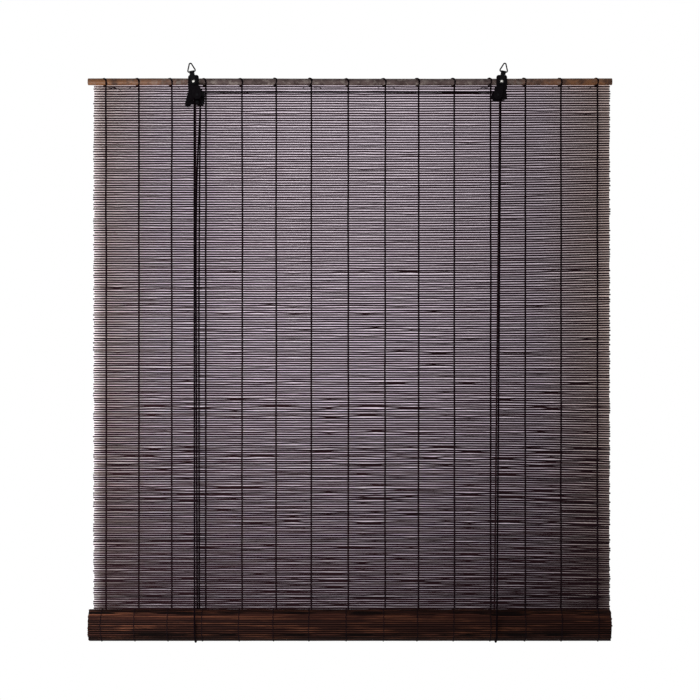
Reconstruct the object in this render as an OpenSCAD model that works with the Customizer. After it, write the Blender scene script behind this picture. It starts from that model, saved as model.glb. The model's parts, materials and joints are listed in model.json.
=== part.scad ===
// Bamboo roll-up blind, hung by two wire rings, with its lower end wound in a roll.
// X runs along the headrail, Y towards the back and Z up, in millimetres.
// The origin lies midway between the two points where the rings rest on their hooks.

/* [Headrail] */
// Length of the headrail pole
rail_length = 900; // [780:1:1500]
// Diameter of the headrail pole
rail_d = 12; // [10:0.5:16]
// Chamfer round each end of the pole
rail_chamfer = 0.8; // [0.3:0.1:2]

/* [Slat mat] */
// Width of the mat along the slats
mat_width = 886; // [760:1:1480]
// Sideways shift of the mat on the headrail
mat_shift = 3; // [-6:0.5:6]
// Headrail axis down to the axis of the roll
drop = 928; // [600:1:1300]
// Spacing of the slats
slat_pitch = 3.95; // [3.6:0.05:6]
// Thickness of a slat
slat_t = 2.2; // [1.6:0.1:3]
// Height of the flat crest of a slat
slat_crest = 1.7; // [1:0.1:2.4]
// Thickness left in the valley between two slats
valley_t = 0.8; // [0.5:0.1:1.2]
// Height of the open gap between one pair of slats and the next
gap_h = 2.6; // [1.6:0.1:3]

/* [Threads] */
// Spacing of the warp columns
warp_pitch = 60.4; // [54:0.1:68]
// Width of a warp thread
thread_w = 1.4; // [0.8:0.1:2]
// Thickness of a warp thread
thread_t = 0.5; // [0.3:0.05:0.8]
// Width of the thread binding round the headrail
binding_w = 2.4; // [1.4:0.1:4]

/* [Roll] */
// Outside diameter of the roll
roll_d = 58; // [48:0.5:84]
// Sideways shift of the roll on the mat
roll_shift = -3.5; // [-6:0.5:6]
// Radial room from one turn of the mat to the next
turn_gap = 0.9; // [0.6:0.1:2]
// Diameter of the bottom batten in the core of the roll
batten_d = 11; // [8:0.5:14]

/* [Hangers] */
// Rivet axis to the point where the ring rests on its hook
hanger_reach = 30; // [27:0.5:40]
// Outward lean of each hanger in degrees
hanger_lean = 10; // [0:1:15]
// Outside width of the ring
ring_w = 15; // [14:0.5:20]
// Wire diameter of the ring
ring_wire = 2; // [1.4:0.1:2.2]
// Bend radius of the wire at the ring's corners
ring_bend = 2.2; // [1.6:0.1:2.4]
// Rivet axis to the straight bar of the ring
strap_reach = 16.5; // [15:0.5:18]
// Width of the strap
strap_w = 8.5; // [6:0.5:8.5]
// Thickness of the strap
strap_t = 1; // [0.8:0.1:1.4]
// Diameter of the rivet shank
rivet_d = 3.2; // [2.4:0.1:4]
// Diameter of the rivet head
rivet_head_d = 5; // [4.4:0.1:8]

/* [Clips] */
// Left clip beyond the fourth warp column from the middle
left_clip_gap = 26.6; // [20:0.1:32]
// Right clip beyond the fourth warp column from the middle
right_clip_gap = 18.4; // [16:0.1:32]
// Width of the riveted plate
plate_w = 18.4; // [16:0.1:22]
// Height of the plate above the rivet
plate_top = 11; // [9:0.5:12]
// Thickness of the plate and of the pulley cover
plate_t = 2.2; // [1.6:0.1:3]
// Rivet axis down to the pulley axis
sheave_drop = 24; // [23:0.5:28]
// Rivet axis to the pulley axis, towards the middle of the blind
sheave_in = 7; // [6:0.1:8]
// Radius at the bottom of the pulley groove
groove_r = 3.8; // [3.4:0.1:4.4]
// Radius of the pulley rim
rim_r = 6.2; // [5.6:0.1:6.8]
// Width of a pulley
sheave_w = 3.8; // [3.4:0.1:4.4]
// Diameter of the pulley pins
pin_d = 3; // [2.4:0.1:3.6]
// Groove radius of the guide roller in the lock
guide_r = 1.9; // [1.8:0.1:2.4]
// Rivet axis down to the cam axis
cam_drop = 36.5; // [36:0.5:42]
// Length of the cam's release lever
lever_length = 16; // [12:0.5:20]
// Diameter of the cam pin and of the guide roller pin
small_pin_d = 2.2; // [1.8:0.1:2.6]

/* [Cords] */
// Diameter of the lift and pull cords
cord_d = 2.6; // [2:0.1:2.8]
// Left sling inward of the left rivet
left_sling_in = 5.7; // [2:0.1:12]
// Right sling inward of the right rivet
right_sling_in = 12; // [2:0.1:16]
// Centre-line radius of the screw eye that holds a lift cord
eye_r = 2.3; // [2:0.1:3]
// Wire diameter of the screw eye
eye_wire = 1.4; // [1:0.1:1.6]

/* [Hidden] */
$fn = 48;
hull_fn = 32;

// Clearances: between parts that move past each other, a pin in its bore, and parts that sit together
run_gap = 0.3;
pin_gap = 0.05;
seat_gap = 0.1;

// Cuts run this far past the faces that they open
cut_over = 1;

// Headrail, straps and mat from front to back
strap_y = 0;
plate_front = strap_y + strap_t / 2 + seat_gap;
plate_back = plate_front + plate_t;
rail_r = rail_d / 2;
rail_y = plate_back + 2 * seat_gap + rail_r;
rail_z = -hanger_reach * cos(hanger_lean);

// Warp columns, each with its own drift from an even spacing, and clips along the headrail
warp_edge_margin = 14;
columns_each_side = floor((mat_width / 2 - warp_edge_margin) / warp_pitch);
column_drift = [4, 0, -4, -6, -4, -6, -6, -3, 0, -3, -2, 0, -1, 0, 2];
columns = [for (i = [0 : 2 * columns_each_side])
    (i - columns_each_side) * warp_pitch + column_drift[i % len(column_drift)]];
clip_column = 4;
left_clip_x = -(clip_column * warp_pitch + left_clip_gap);
right_clip_x = clip_column * warp_pitch + right_clip_gap;

// Roll and its turns
roll_r = roll_d / 2;
roll_z = rail_z - drop;
crest_r = roll_r - thread_t - seat_gap;
turn_pitch = slat_t + turn_gap;
roll_y = rail_y - crest_r + slat_t / 2;
batten_r = batten_d / 2;
wound_angle = 360 * (crest_r - slat_t - batten_r - run_gap) / turn_pitch;
slats_per_turn = round(2 * PI * crest_r / slat_pitch);
batten_inset = 1;

// Hanging slats, spaced evenly from the headrail to the start of the roll
mat_top = rail_z - rail_r - thread_t - 2 * seat_gap;
mat_bottom = roll_z + run_gap;
slat_count = round((mat_top - mat_bottom) / slat_pitch);
hung_pitch = (mat_top - mat_bottom) / slat_count;
slats_between_gaps = 2;
gap_past_column = 10;

// Cords and pulleys
cord_r = cord_d / 2;
wrap_r = groove_r + cord_r;
guide_wrap_r = guide_r + cord_r;
guide_rim = 1.7;
back_plane = plate_front - run_gap - sheave_w / 2;
front_plane = back_plane - sheave_w - run_gap;
sheave_z = rail_z - sheave_drop;
cross_z = sheave_z + wrap_r;
strand_in = sheave_in + wrap_r;
sling_r = roll_r + run_gap + cord_r;
left_sling_x = left_clip_x + left_sling_in;
right_sling_x = right_clip_x - right_sling_in;
cord_end_gap = 0.1;

// Screw eyes, set into the back of the headrail below its axis
eye_angle = 45;
eye_neck = 2.4;
eye_root = rail_r + eye_neck;
eye_depth = 3;
eye_y = rail_y + eye_root * cos(eye_angle) + eye_r;
eye_z = rail_z - eye_root * sin(eye_angle);
eye_in = sheave_in - wrap_r;
knot_overhang = 0.7;
knot_r = eye_r - eye_wire / 2 + knot_overhang;
knot_lift = sqrt(pow(knot_r + eye_wire / 2 + seat_gap, 2) - pow(eye_r, 2));
knot_cut = 0.4;

// Lock parts, measured from the rivet axis towards the middle of the blind
cam_nose = 4.1;
cam_in = strand_in - cord_r - 2 * seat_gap - cam_nose;
cam_hub_r = 3.1;
cam_front = front_plane - sheave_w / 2;
post_in = strand_in + cord_r + run_gap;
post_w = 3.4;
post_h = 9;
guide_in = strand_in + guide_wrap_r;
guide_drop = sheave_drop - wrap_r + guide_wrap_r;

// Colours as seen
stained_pole = [0.36, 0.27, 0.23];
dark_slat = [0.20, 0.13, 0.13];
black_thread = [0.09, 0.07, 0.08];
black_plastic = [0.07, 0.07, 0.08];
nickel = [0.72, 0.71, 0.69];
dark_steel = [0.20, 0.20, 0.21];

// Extrudes a profile drawn in Y and Z along the headrail, centred on x
module along_rail(length, x = 0)
    translate([x - length / 2, 0, 0])
        rotate([90, 0, 90])
            linear_extrude(length) children();

// Extrudes an outline drawn in X and Z from its front face to its back face
module slab(front, back)
    translate([0, back, 0])
        rotate([90, 0, 0])
            linear_extrude(back - front) children();

// Round bar along Y, from its front end to its back end
module bar_y(d, front, back)
    translate([0, back, 0])
        rotate([90, 0, 0])
            cylinder(d = d, h = back - front);

// Straight cord or wire from one point to another
module run(from, to, d) {
    step = to - from;
    length = norm(step);
    translate(from)
        rotate([0, acos(step[2] / length), atan2(step[1], step[0])])
            cylinder(d = d, h = length);
}

function unit(v) = v / norm(v);

// Tube along a route, as rings of points joined into one solid; across is a direction that the
// route never follows, and a closed route joins its last ring to its first
tube_sides = 8;
module tube(route, d, across, closed = false) {
    count = len(route);
    last = count - 1;
    rings = [for (i = [0 : last])
        let (
            before = closed ? (i + last) % count : max(i - 1, 0),
            after = closed ? (i + 1) % count : min(i + 1, last),
            along = unit(route[after] - route[before]),
            fore = unit(cross(along, across)),
            side = cross(fore, along)
        )
        for (k = [0 : tube_sides - 1])
            let (a = k * 360 / tube_sides)
                route[i] + d / 2 * (cos(a) * side + sin(a) * fore)
    ];
    walls = [for (i = [0 : closed ? last : last - 1], k = [0 : tube_sides - 1])
        let (next = (k + 1) % tube_sides, here = i * tube_sides, there = (i + 1) % count * tube_sides)
            [here + k, here + next, there + next, there + k]
    ];
    caps = [
        [for (k = [tube_sides - 1 : -1 : 0]) k],
        [for (k = [0 : tube_sides - 1]) last * tube_sides + k]
    ];
    polyhedron(rings, concat(walls, closed ? [] : caps));
}

// Part of a wire hoop in the X-Z plane, from one angle to another
module hoop(radius, d, start, turn)
    rotate([90, 0, 0])
        rotate([0, 0, start])
            rotate_extrude(angle = turn)
                translate([radius, 0]) circle(d = d);

// Places a clip part at its rivet: the left clip as drawn, the right clip mirrored
module at_left_clip() translate([left_clip_x, 0, rail_z]) children();
module at_right_clip() translate([right_clip_x, 0, rail_z]) mirror([1, 0, 0]) children();

module rod_with_chamfers(d, length, chamfer, x = 0)
    translate([x - length / 2, 0, 0])
        rotate([0, 90, 0]) {
            cylinder(d1 = d - 2 * chamfer, d2 = d, h = chamfer);
            translate([0, 0, chamfer]) cylinder(d = d, h = length - 2 * chamfer);
            translate([0, 0, length - chamfer])
                cylinder(d1 = d, d2 = d - 2 * chamfer, h = chamfer);
        }

module headrail()
    color(stained_pole)
        difference() {
            translate([0, rail_y, rail_z])
                rod_with_chamfers(rail_d, rail_length, rail_chamfer);
            for (x = [left_clip_x, right_clip_x])
                translate([x, 0, rail_z])
                    bar_y(rivet_d + 2 * pin_gap, rail_y - rail_d, rail_y + rail_d);
            for (x = [left_clip_x + eye_in, right_clip_x - eye_in])
                translate([x, rail_y, rail_z])
                    rotate([-90 - eye_angle, 0, 0])
                        translate([0, 0, eye_depth]) cylinder(d = eye_wire, h = rail_d);
        }

// Front or back edge of the hanging slats, from the top down; side is -1 in front and 1 behind.
// The slats lean together in pairs, and the first one lies alone against the headrail.
slat_h = hung_pitch - gap_h / 2;

function slat_edge(side) = [
    for (i = [0 : slat_count - 1])
        let (
            over_gap = i % slats_between_gaps == 0,
            middle = mat_top - (i + 0.5) * hung_pitch + (over_gap ? 1 : -1) * gap_h / 4,
            crest = min(slat_crest, slat_h - 2 * run_gap),
            upper = [[valley_t, slat_h], [slat_t, crest], [slat_t, -crest]]
        )
            for (p = over_gap ? concat(upper, [[valley_t, -slat_h]]) : upper)
                [rail_y + side * p[0] / 2, middle + p[1] / 2],
    [rail_y + side * valley_t / 2, mat_bottom]
];

function reversed(points) = [for (i = [len(points) - 1 : -1 : 0]) points[i]];

module hanging_mat()
    color(dark_slat)
        difference() {
            along_rail(mat_width, mat_shift)
                polygon(concat(slat_edge(-1), reversed(slat_edge(1))));
            gap_length = 2 * (columns_each_side * warp_pitch + gap_past_column);
            for (i = [1 : slats_between_gaps : slat_count - 1])
                translate([-gap_length / 2, rail_y - slat_t, mat_top - i * hung_pitch - gap_h / 2])
                    cube([gap_length, 2 * slat_t, gap_h]);
        }

// Flattened half-round section of a thread that lies on a slat, side -1 in front and 1 behind
module thread_section(side)
    polygon([
        [-thread_w / 2, 0],
        [-thread_w / 4, side * thread_t],
        [thread_w / 4, side * thread_t],
        [thread_w / 2, 0]
    ]);

module warp_threads()
    color(black_thread)
        for (x = columns, side = [-1, 1])
            translate([x, rail_y + side * slat_t / 2, mat_bottom + run_gap])
                linear_extrude(mat_top - mat_bottom - run_gap) thread_section(side);

module headrail_bindings()
    color(black_thread)
        for (x = columns)
            translate([x - binding_w / 2, rail_y, rail_z])
                rotate([0, 90, 0])
                    difference() {
                        cylinder(r = rail_r + seat_gap + thread_t, h = binding_w);
                        translate([0, 0, -binding_w])
                            cylinder(r = rail_r + seat_gap, h = 3 * binding_w);
                    }

// Point of the spiral at an angle from the back of the roll, counted downwards, in Y and Z
function wound_r(angle) = crest_r - turn_pitch * angle / 360;
function wound(angle, depth) = [
    roll_y + (wound_r(angle) - depth) * cos(angle),
    roll_z - (wound_r(angle) - depth) * sin(angle)
];

inner_step = 18;
slat_angle = 360 / slats_per_turn;
valley_depth = (slat_t - valley_t) / 2;
crest_share = slat_crest / slat_pitch;

// Outer turn with its slats, then the smooth inner turns, and back along the inside
wound_outside = concat(
    [for (k = [0 : slats_per_turn - 1], p = [[0, valley_depth], [0.5 - crest_share / 2, 0],
        [0.5 + crest_share / 2, 0]]) wound((k + p[0]) * slat_angle, p[1])],
    [for (a = [360 : inner_step : wound_angle]) wound(a, 0)]
);
wound_inside = [for (a = [0 : inner_step : wound_angle]) wound(a, slat_t)];

module mat_roll()
    color(dark_slat)
        along_rail(mat_width, mat_shift + roll_shift)
            polygon(concat(wound_outside, reversed(wound_inside)));

// Threads on the outer turn run from crest to crest, from behind the roll to just short of the nip
first_crest = 1.5 * slat_angle;
bare_slats = 7;
last_crest = (slats_per_turn - bare_slats + 0.5) * slat_angle;

module roll_threads()
    color(black_thread)
        for (x = columns)
            along_rail(thread_w, x + roll_shift)
                polygon(concat(
                    [for (a = [first_crest : slat_angle : last_crest]) wound(a, -seat_gap - thread_t)],
                    [for (a = [last_crest : -slat_angle : first_crest]) wound(a, -seat_gap)]
                ));

module bottom_batten()
    color(stained_pole)
        translate([0, roll_y, roll_z])
            rod_with_chamfers(batten_d, mat_width - 2 * batten_inset, rail_chamfer, mat_shift + roll_shift);

// Riveted plate with rounded corners, seen from the front
plate_corner = 4;
plate_tail = 12;

module plate_outline()
    hull()
        for (side = [-1, 1])
            for (height = [plate_top - plate_corner, -plate_tail])
                translate([side * (plate_w / 2 - plate_corner), height])
                    circle(plate_corner, $fn = hull_fn);

// Pulley cover: a drop that hangs from the bridge over the pulley, clear of the strap's disc
strap_disc_rim = 1.2;
strap_disc_r = strap_w / 2 + strap_disc_rim;
cover_rim = 1.2;
bridge_w = 14;
bridge_out = 2;
bridge_clear = 3.3;
bridge_top = -strap_disc_r - bridge_clear;
bridge_bottom = -sheave_drop + rim_r + cover_rim;

module bridge_outline()
    translate([sheave_in - bridge_out - bridge_w / 2, bridge_bottom])
        square([bridge_w, bridge_top - bridge_bottom]);

module cover_outline()
    hull() {
        bridge_outline();
        translate([sheave_in, -sheave_drop]) circle(rim_r + cover_rim, $fn = hull_fn);
    }

// Moulded body of a clip: back plate with the arms of its fan, bridge and pulley cover; each lobe of
// an arm is a round given by its place across, its height and its radius
fan_root_in = 1;
fan_root_inset = 1.5;

module clip_body(cover_back, fan) {
    slab(plate_front, plate_back) plate_outline();
    slab(plate_front, plate_back)
        for (arm = fan)
            hull() {
                translate([fan_root_in, -plate_tail])
                    circle(plate_w / 2 - fan_root_inset, $fn = hull_fn);
                for (lobe = arm)
                    translate([lobe[0], lobe[1]]) circle(lobe[2], $fn = hull_fn);
            }
    slab(cover_back - plate_t, plate_front) bridge_outline();
    slab(cover_back - plate_t, cover_back) cover_outline();
}

// Holes through a clip body for the rivet and the pulley pin
module clip_holes(cover_back) {
    bar_y(rivet_d, plate_front - cut_over, plate_back + cut_over);
    translate([sheave_in, 0, -sheave_drop])
        bar_y(pin_d, cover_back - plate_t - cut_over, plate_back + cut_over);
}

lock_cover_back = front_plane - sheave_w / 2 - run_gap;
pulley_cover_back = back_plane - sheave_w / 2 - run_gap;
boss_rim = 1.1;
boss_r = pin_d / 2 + boss_rim;

// The lock's fan has an outer arm and an arm that carries the cam, the post and the guide roller,
// with a notch for the lift cord between them; round teeth go down the outer arm's edge
lobe_r = 5.2;
outer_arm_out = 9.4;
outer_arm_drop = 38.9;
cam_lobe_r = 4.2;
guide_lobe_rim = 0.8;
fan_teeth = 5;
tooth_r = 1.7;
post_ribs = 4;
post_rib_h = 0.6;
lock_fan = [
    [[-outer_arm_out, -outer_arm_drop, lobe_r]],
    [
        [cam_in, -cam_drop, cam_lobe_r],
        [post_in, -cam_drop, lobe_r],
        [guide_in, -guide_drop, guide_r + guide_rim + guide_lobe_rim]
    ]
];

// The pulley's fan is one arm with two lobes below the pulley
pulley_lobe_out = 4;
pulley_lobe_in = 11;
pulley_lobe_rim = 1;
pulley_lobe_drop = sheave_drop + 3;
pulley_fan = [[
    [-pulley_lobe_out, -pulley_lobe_drop, lobe_r],
    [pulley_lobe_in, -pulley_lobe_drop, rim_r + pulley_lobe_rim]
]];

// Round teeth between the root of the lock's fan and the lobe of its outer arm
module fan_tooth_outline() {
    root = [fan_root_in - plate_w / 2 + fan_root_inset, -plate_tail];
    tip = [-outer_arm_out - lobe_r, -outer_arm_drop];
    for (i = [1 : fan_teeth])
        translate(root + (tip - root) * i / (fan_teeth + 1)) circle(tooth_r);
}

module lock_housing()
    color(black_plastic)
        at_left_clip()
            difference() {
                union() {
                    clip_body(lock_cover_back, lock_fan);
                    translate([sheave_in, 0, -sheave_drop])
                        bar_y(2 * boss_r, front_plane + sheave_w / 2 + run_gap, plate_front);
                    slab(plate_front, plate_back) fan_tooth_outline();
                    translate([post_in, cam_front, -cam_drop - post_h / 2])
                        cube([post_w, plate_front - cam_front, post_h]);
                    for (i = [0 : post_ribs - 1])
                        translate([post_in, cam_front - post_rib_h,
                            -cam_drop - post_h / 2 + (2 * i + 0.5) * post_h / (2 * post_ribs)])
                            cube([post_w, post_rib_h + seat_gap, post_h / (2 * post_ribs)]);
                }
                clip_holes(lock_cover_back);
                translate([cam_in, 0, -cam_drop])
                    bar_y(small_pin_d, plate_front - cut_over, plate_back + cut_over);
                translate([guide_in, 0, -guide_drop])
                    bar_y(small_pin_d, plate_front - cut_over, plate_back + cut_over);
            }

module pulley_housing()
    color(black_plastic)
        at_right_clip()
            difference() {
                clip_body(pulley_cover_back, pulley_fan);
                clip_holes(pulley_cover_back);
            }

// Grooved wheel on an axis along Y, centred in its plane
wheel_edge = 0.25;
groove_flat = cord_r - seat_gap;

module grooved_wheel(groove, rim, bore)
    rotate([90, 0, 0])
        rotate_extrude()
            polygon([
                [bore, -sheave_w / 2], [rim, -sheave_w / 2], [rim, -sheave_w / 2 + wheel_edge],
                [groove, -groove_flat], [groove, groove_flat],
                [rim, sheave_w / 2 - wheel_edge], [rim, sheave_w / 2], [bore, sheave_w / 2]
            ]);

module lock_sheave()
    color(dark_steel)
        at_left_clip()
            translate([sheave_in, front_plane, -sheave_drop])
                grooved_wheel(groove_r - seat_gap, rim_r, pin_d / 2 + pin_gap);

module pulley_sheave()
    color(dark_steel)
        at_right_clip()
            translate([sheave_in, back_plane, -sheave_drop])
                grooved_wheel(groove_r - seat_gap, rim_r, pin_d / 2 + pin_gap);

module guide_roller()
    color(dark_steel)
        at_left_clip()
            translate([guide_in, back_plane, -guide_drop])
                grooved_wheel(guide_r - seat_gap, guide_r + guide_rim, small_pin_d / 2 + pin_gap);

// Pin with a flat head in front, from the face its head rests on to the back of the plate
pin_head_h = 0.8;
pin_head_rim = 0.8;
small_head_rim = 0.5;

module headed_pin(d, head_rim, seat) {
    bar_y(d, seat, plate_back);
    bar_y(d + 2 * head_rim, seat - pin_head_h, seat);
}

module lock_sheave_pin()
    color(nickel)
        at_left_clip()
            translate([sheave_in, 0, -sheave_drop])
                headed_pin(pin_d, pin_head_rim, lock_cover_back - plate_t);

module pulley_sheave_pin()
    color(nickel)
        at_right_clip()
            translate([sheave_in, 0, -sheave_drop])
                headed_pin(pin_d, pin_head_rim, pulley_cover_back - plate_t);

module guide_roller_pin()
    color(nickel)
        at_left_clip()
            translate([guide_in, 0, -guide_drop])
                headed_pin(small_pin_d, small_head_rim, back_plane - sheave_w / 2 - run_gap);

module lock_cam_pin()
    color(nickel)
        at_left_clip()
            translate([cam_in, 0, -cam_drop])
                headed_pin(small_pin_d, small_head_rim, cam_front - run_gap);

// Cam: a toothed nose that grips both pull strands, and a ribbed lever that lets them go
tooth_count = 9;
tooth_depth = 0.45;
nose_spread = 50;
nose_growth = 0.015;
lever_tip_r = 2.8;
lever_fall = 1.5;
lever_neck = 0.4;
lever_ribs = 4;
rib_h = 0.5;
rib_w = 0.8;
rib_step = 1.9;

function nose_r(angle) = cam_nose - seat_gap - nose_growth * angle;
nose_points = [
    for (i = [0 : 2 * tooth_count])
        let (a = -nose_spread + i * nose_spread / tooth_count)
            (nose_r(a) - (i % 2) * tooth_depth) * [cos(a), sin(a)]
];

module lock_cam() {
    lever_front = back_plane - sheave_w / 2 + run_gap;
    lever_back = plate_front - run_gap;
    color(black_plastic)
        at_left_clip()
            translate([cam_in, 0, -cam_drop])
                difference() {
                    union() {
                        bar_y(2 * cam_hub_r, cam_front, lever_back);
                        slab(cam_front, lever_back) polygon(concat([[0, 0]], nose_points));
                        slab(lever_front, lever_back)
                            hull() {
                                circle(cam_hub_r - lever_neck, $fn = hull_fn);
                                translate([lever_tip_r - lever_length, -lever_fall])
                                    circle(lever_tip_r, $fn = hull_fn);
                            }
                        for (i = [0 : lever_ribs - 1])
                            translate([lever_tip_r - lever_length + (i - 1) * rib_step,
                                lever_front - rib_h, -lever_fall - lever_tip_r / 2])
                                cube([rib_w, rib_h + seat_gap, lever_tip_r]);
                    }
                    bar_y(small_pin_d + 2 * pin_gap, cam_front - cut_over, lever_back + cut_over);
                }
}

// Strap in its own frame, rivet at the origin and the ring's bar above it
knuckle_r = ring_wire / 2 + pin_gap + strap_t;

module strap()
    difference() {
        union() {
            bar_y(2 * strap_disc_r, strap_y - strap_t / 2, strap_y + strap_t / 2);
            translate([-strap_w / 2, strap_y - strap_t / 2, 0])
                cube([strap_w, strap_t, strap_reach]);
            translate([-strap_w / 2, strap_y, strap_reach])
                rotate([0, 90, 0]) cylinder(r = knuckle_r, h = strap_w);
        }
        translate([-strap_w, strap_y, strap_reach])
            rotate([0, 90, 0]) cylinder(d = ring_wire + 2 * pin_gap, h = 2 * strap_w);
        bar_y(rivet_d + 2 * pin_gap, strap_y - strap_t, strap_y + strap_t);
    }

// Triangular ring in the strap's frame: one bent wire with a straight bar and three round corners
corner_steps = 6;

function corner(middle, start, turn) = [
    for (i = [0 : corner_steps])
        let (a = start + turn * i / corner_steps)
            middle + ring_bend * [cos(a), 0, sin(a)]
];

module ring() {
    foot = ring_w / 2 - ring_wire / 2 - ring_bend;
    low = strap_reach + ring_bend;
    high = hanger_reach + ring_wire / 2 - ring_bend;
    slope = atan2(foot, high - low);
    tube(concat(
        corner([foot, strap_y, low], -90, 90 + slope),
        corner([0, strap_y, high], slope, 180 - 2 * slope),
        corner([-foot, strap_y, low], 180 - slope, 90 + slope)
    ), ring_wire, [0, 1, 0], closed = true);
}

module strap_left() color(dark_steel) at_left_clip() rotate([0, -hanger_lean, 0]) strap();
module strap_right() color(dark_steel) at_right_clip() rotate([0, -hanger_lean, 0]) strap();
module ring_left() color(dark_steel) at_left_clip() rotate([0, -hanger_lean, 0]) ring();
module ring_right() color(dark_steel) at_right_clip() rotate([0, -hanger_lean, 0]) ring();

// Rivet with a shallow domed head in front of the strap and a clinched tail behind the headrail
rivet_head_h = 1.3;
tail_d = 5;
tail_h = 1;

module rivet() {
    head_seat = strap_y - strap_t / 2 - seat_gap;
    tail_seat = rail_y + rail_r + seat_gap;
    dome_r = (pow(rivet_head_d / 2, 2) + pow(rivet_head_h, 2)) / (2 * rivet_head_h);
    bar_y(rivet_d, head_seat, tail_seat);
    intersection() {
        translate([0, head_seat - rivet_head_h + dome_r, 0]) sphere(dome_r);
        bar_y(rivet_head_d, head_seat - 2 * rivet_head_h, head_seat);
    }
    bar_y(tail_d, tail_seat, tail_seat + tail_h);
}

module rivet_left() color(nickel) at_left_clip() rivet();
module rivet_right() color(nickel) at_right_clip() rivet();

// Screw eye: a level ring behind the headrail on a shank that slants up into it
module screw_eye()
    color(dark_steel) {
        translate([0, eye_y, eye_z])
            rotate_extrude() translate([eye_r, 0]) circle(d = eye_wire);
        translate([0, rail_y, rail_z])
            rotate([-90 - eye_angle, 0, 0])
                translate([0, 0, eye_depth])
                    cylinder(d = eye_wire, h = eye_root - eye_depth);
    }

module screw_eye_left() translate([left_clip_x + eye_in, 0, 0]) screw_eye();
module screw_eye_right() translate([right_clip_x - eye_in, 0, 0]) screw_eye();

module cord_knots()
    color(black_thread)
        for (x = [left_clip_x + eye_in, right_clip_x - eye_in])
            translate([x, eye_y, eye_z])
                difference() {
                    translate([0, 0, knot_lift]) sphere(knot_r);
                    translate([-knot_r, -knot_r, knot_cut - 2 * knot_r]) cube(2 * knot_r);
                }

// Lift cord from the eye down the back, under the roll in a sling, and up the front to the pulley
module back_cord(eye_x, sling_x)
    color(black_thread)
        run([eye_x, eye_y, eye_z + knot_cut - cord_end_gap],
            [sling_x, roll_y + sling_r, roll_z + cord_end_gap], cord_d);

module front_cord(sheave_x, plane, sling_x)
    color(black_thread)
        run([sheave_x, plane, sheave_z - cord_end_gap],
            [sling_x, roll_y - sling_r, roll_z + cord_end_gap], cord_d);

module sling(x)
    color(black_thread)
        translate([x, roll_y, roll_z])
            rotate([0, -90, 0])
                rotate([0, 0, 90])
                    rotate_extrude(angle = 180)
                        translate([sling_r, 0]) circle(d = cord_d);

module back_cord_left() back_cord(left_clip_x + eye_in, left_sling_x);
module back_cord_right() back_cord(right_clip_x - eye_in, right_sling_x);
module front_cord_left() front_cord(left_clip_x + sheave_in - wrap_r, front_plane, left_sling_x);
module front_cord_right() front_cord(right_clip_x - sheave_in + wrap_r, back_plane, right_sling_x);
module sling_left() sling(left_sling_x);
module sling_right() sling(right_sling_x);

// Half turn of the left lift cord over the lock's pulley
module lock_cord_turn()
    color(black_thread)
        translate([left_clip_x + sheave_in, front_plane, sheave_z])
            hoop(wrap_r, cord_d, 0, 180);

// Right lift cord over its pulley, along under the headrail and down over the guide roller
module cross_cord() {
    right_x = right_clip_x - sheave_in;
    guide_x = left_clip_x + guide_in;
    color(black_thread) {
        translate([right_x, back_plane, sheave_z]) hoop(wrap_r, cord_d, 0, 90);
        run([guide_x, back_plane, cross_z], [right_x, back_plane, cross_z], cord_d);
        translate([guide_x, back_plane, cross_z - guide_wrap_r])
            hoop(guide_wrap_r, cord_d, 90, 90);
    }
}

// Pull strands: down from the lock and over the roll into the nip, where the mat takes them up;
// each point of a sway is its height below the lock, for a strand of sway_length, and its drift
sway_length = 890;
pull_a_sway = [[0, 0], [-20, 0], [-60, -1.6], [-110, -4.4], [-160, -6.2], [-220, -7], [-280, -7.2],
    [-340, -7.2], [-400, -7], [-460, -6.8], [-520, -6.6], [-640, -6], [-760, -5.6], [-860, -5.4]];
pull_b_sway = [[0, 0], [-20, 0], [-60, -0.4], [-160, -1.4], [-280, -2.2], [-400, -2.6], [-520, -2.4],
    [-640, -2.2], [-760, -2], [-860, -2]];
lay_r = sling_r + seat_gap;
nip_y = rail_y - slat_t / 2 - thread_t - run_gap - cord_r;
nip_angle = asin((nip_y - roll_y) / lay_r);
lay_steps = 4;

// Route of one strand: its sway on the way down, scaled to the drop, then round the roll
function pull_route(sway, plane, top) =
    let (
        strand_x = left_clip_x + strand_in,
        land_angle = asin((plane - roll_y) / lay_r),
        land_z = roll_z + lay_r * cos(land_angle),
        reach = (top - land_z) / sway_length,
        last = sway[len(sway) - 1]
    )
    concat(
        [for (p = sway) [strand_x + p[1], plane, top + reach * p[0]]],
        [for (i = [0 : lay_steps])
            let (a = land_angle + (nip_angle - land_angle) * i / lay_steps)
                [strand_x + last[1], roll_y + lay_r * sin(a), roll_z + lay_r * cos(a)]]
    );

module pull_cord_a()
    color(black_thread) tube(pull_route(pull_a_sway, front_plane, sheave_z), cord_d, [1, 0, 0]);
module pull_cord_b()
    color(black_thread)
        tube(pull_route(pull_b_sway, back_plane, cross_z - guide_wrap_r), cord_d, [1, 0, 0]);

headrail();
hanging_mat();
warp_threads();
headrail_bindings();
mat_roll();
roll_threads();
bottom_batten();
lock_housing();
lock_sheave();
lock_sheave_pin();
guide_roller();
guide_roller_pin();
lock_cam();
lock_cam_pin();
pulley_housing();
pulley_sheave();
pulley_sheave_pin();
strap_left();
ring_left();
rivet_left();
strap_right();
ring_right();
rivet_right();
screw_eye_left();
screw_eye_right();
cord_knots();
front_cord_left();
back_cord_left();
sling_left();
front_cord_right();
back_cord_right();
sling_right();
lock_cord_turn();
cross_cord();
pull_cord_a();
pull_cord_b();
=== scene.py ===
"""Bamboo roll-up blind: the looks of its slats, threads, cords, pole and clips.

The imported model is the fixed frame. Each class dresses one sub-assembly around it, in metres,
with +X along the headrail, +Y towards the wall and +Z up.
"""

import json
import logging
import math
from dataclasses import dataclass, field
from enum import Enum

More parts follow.
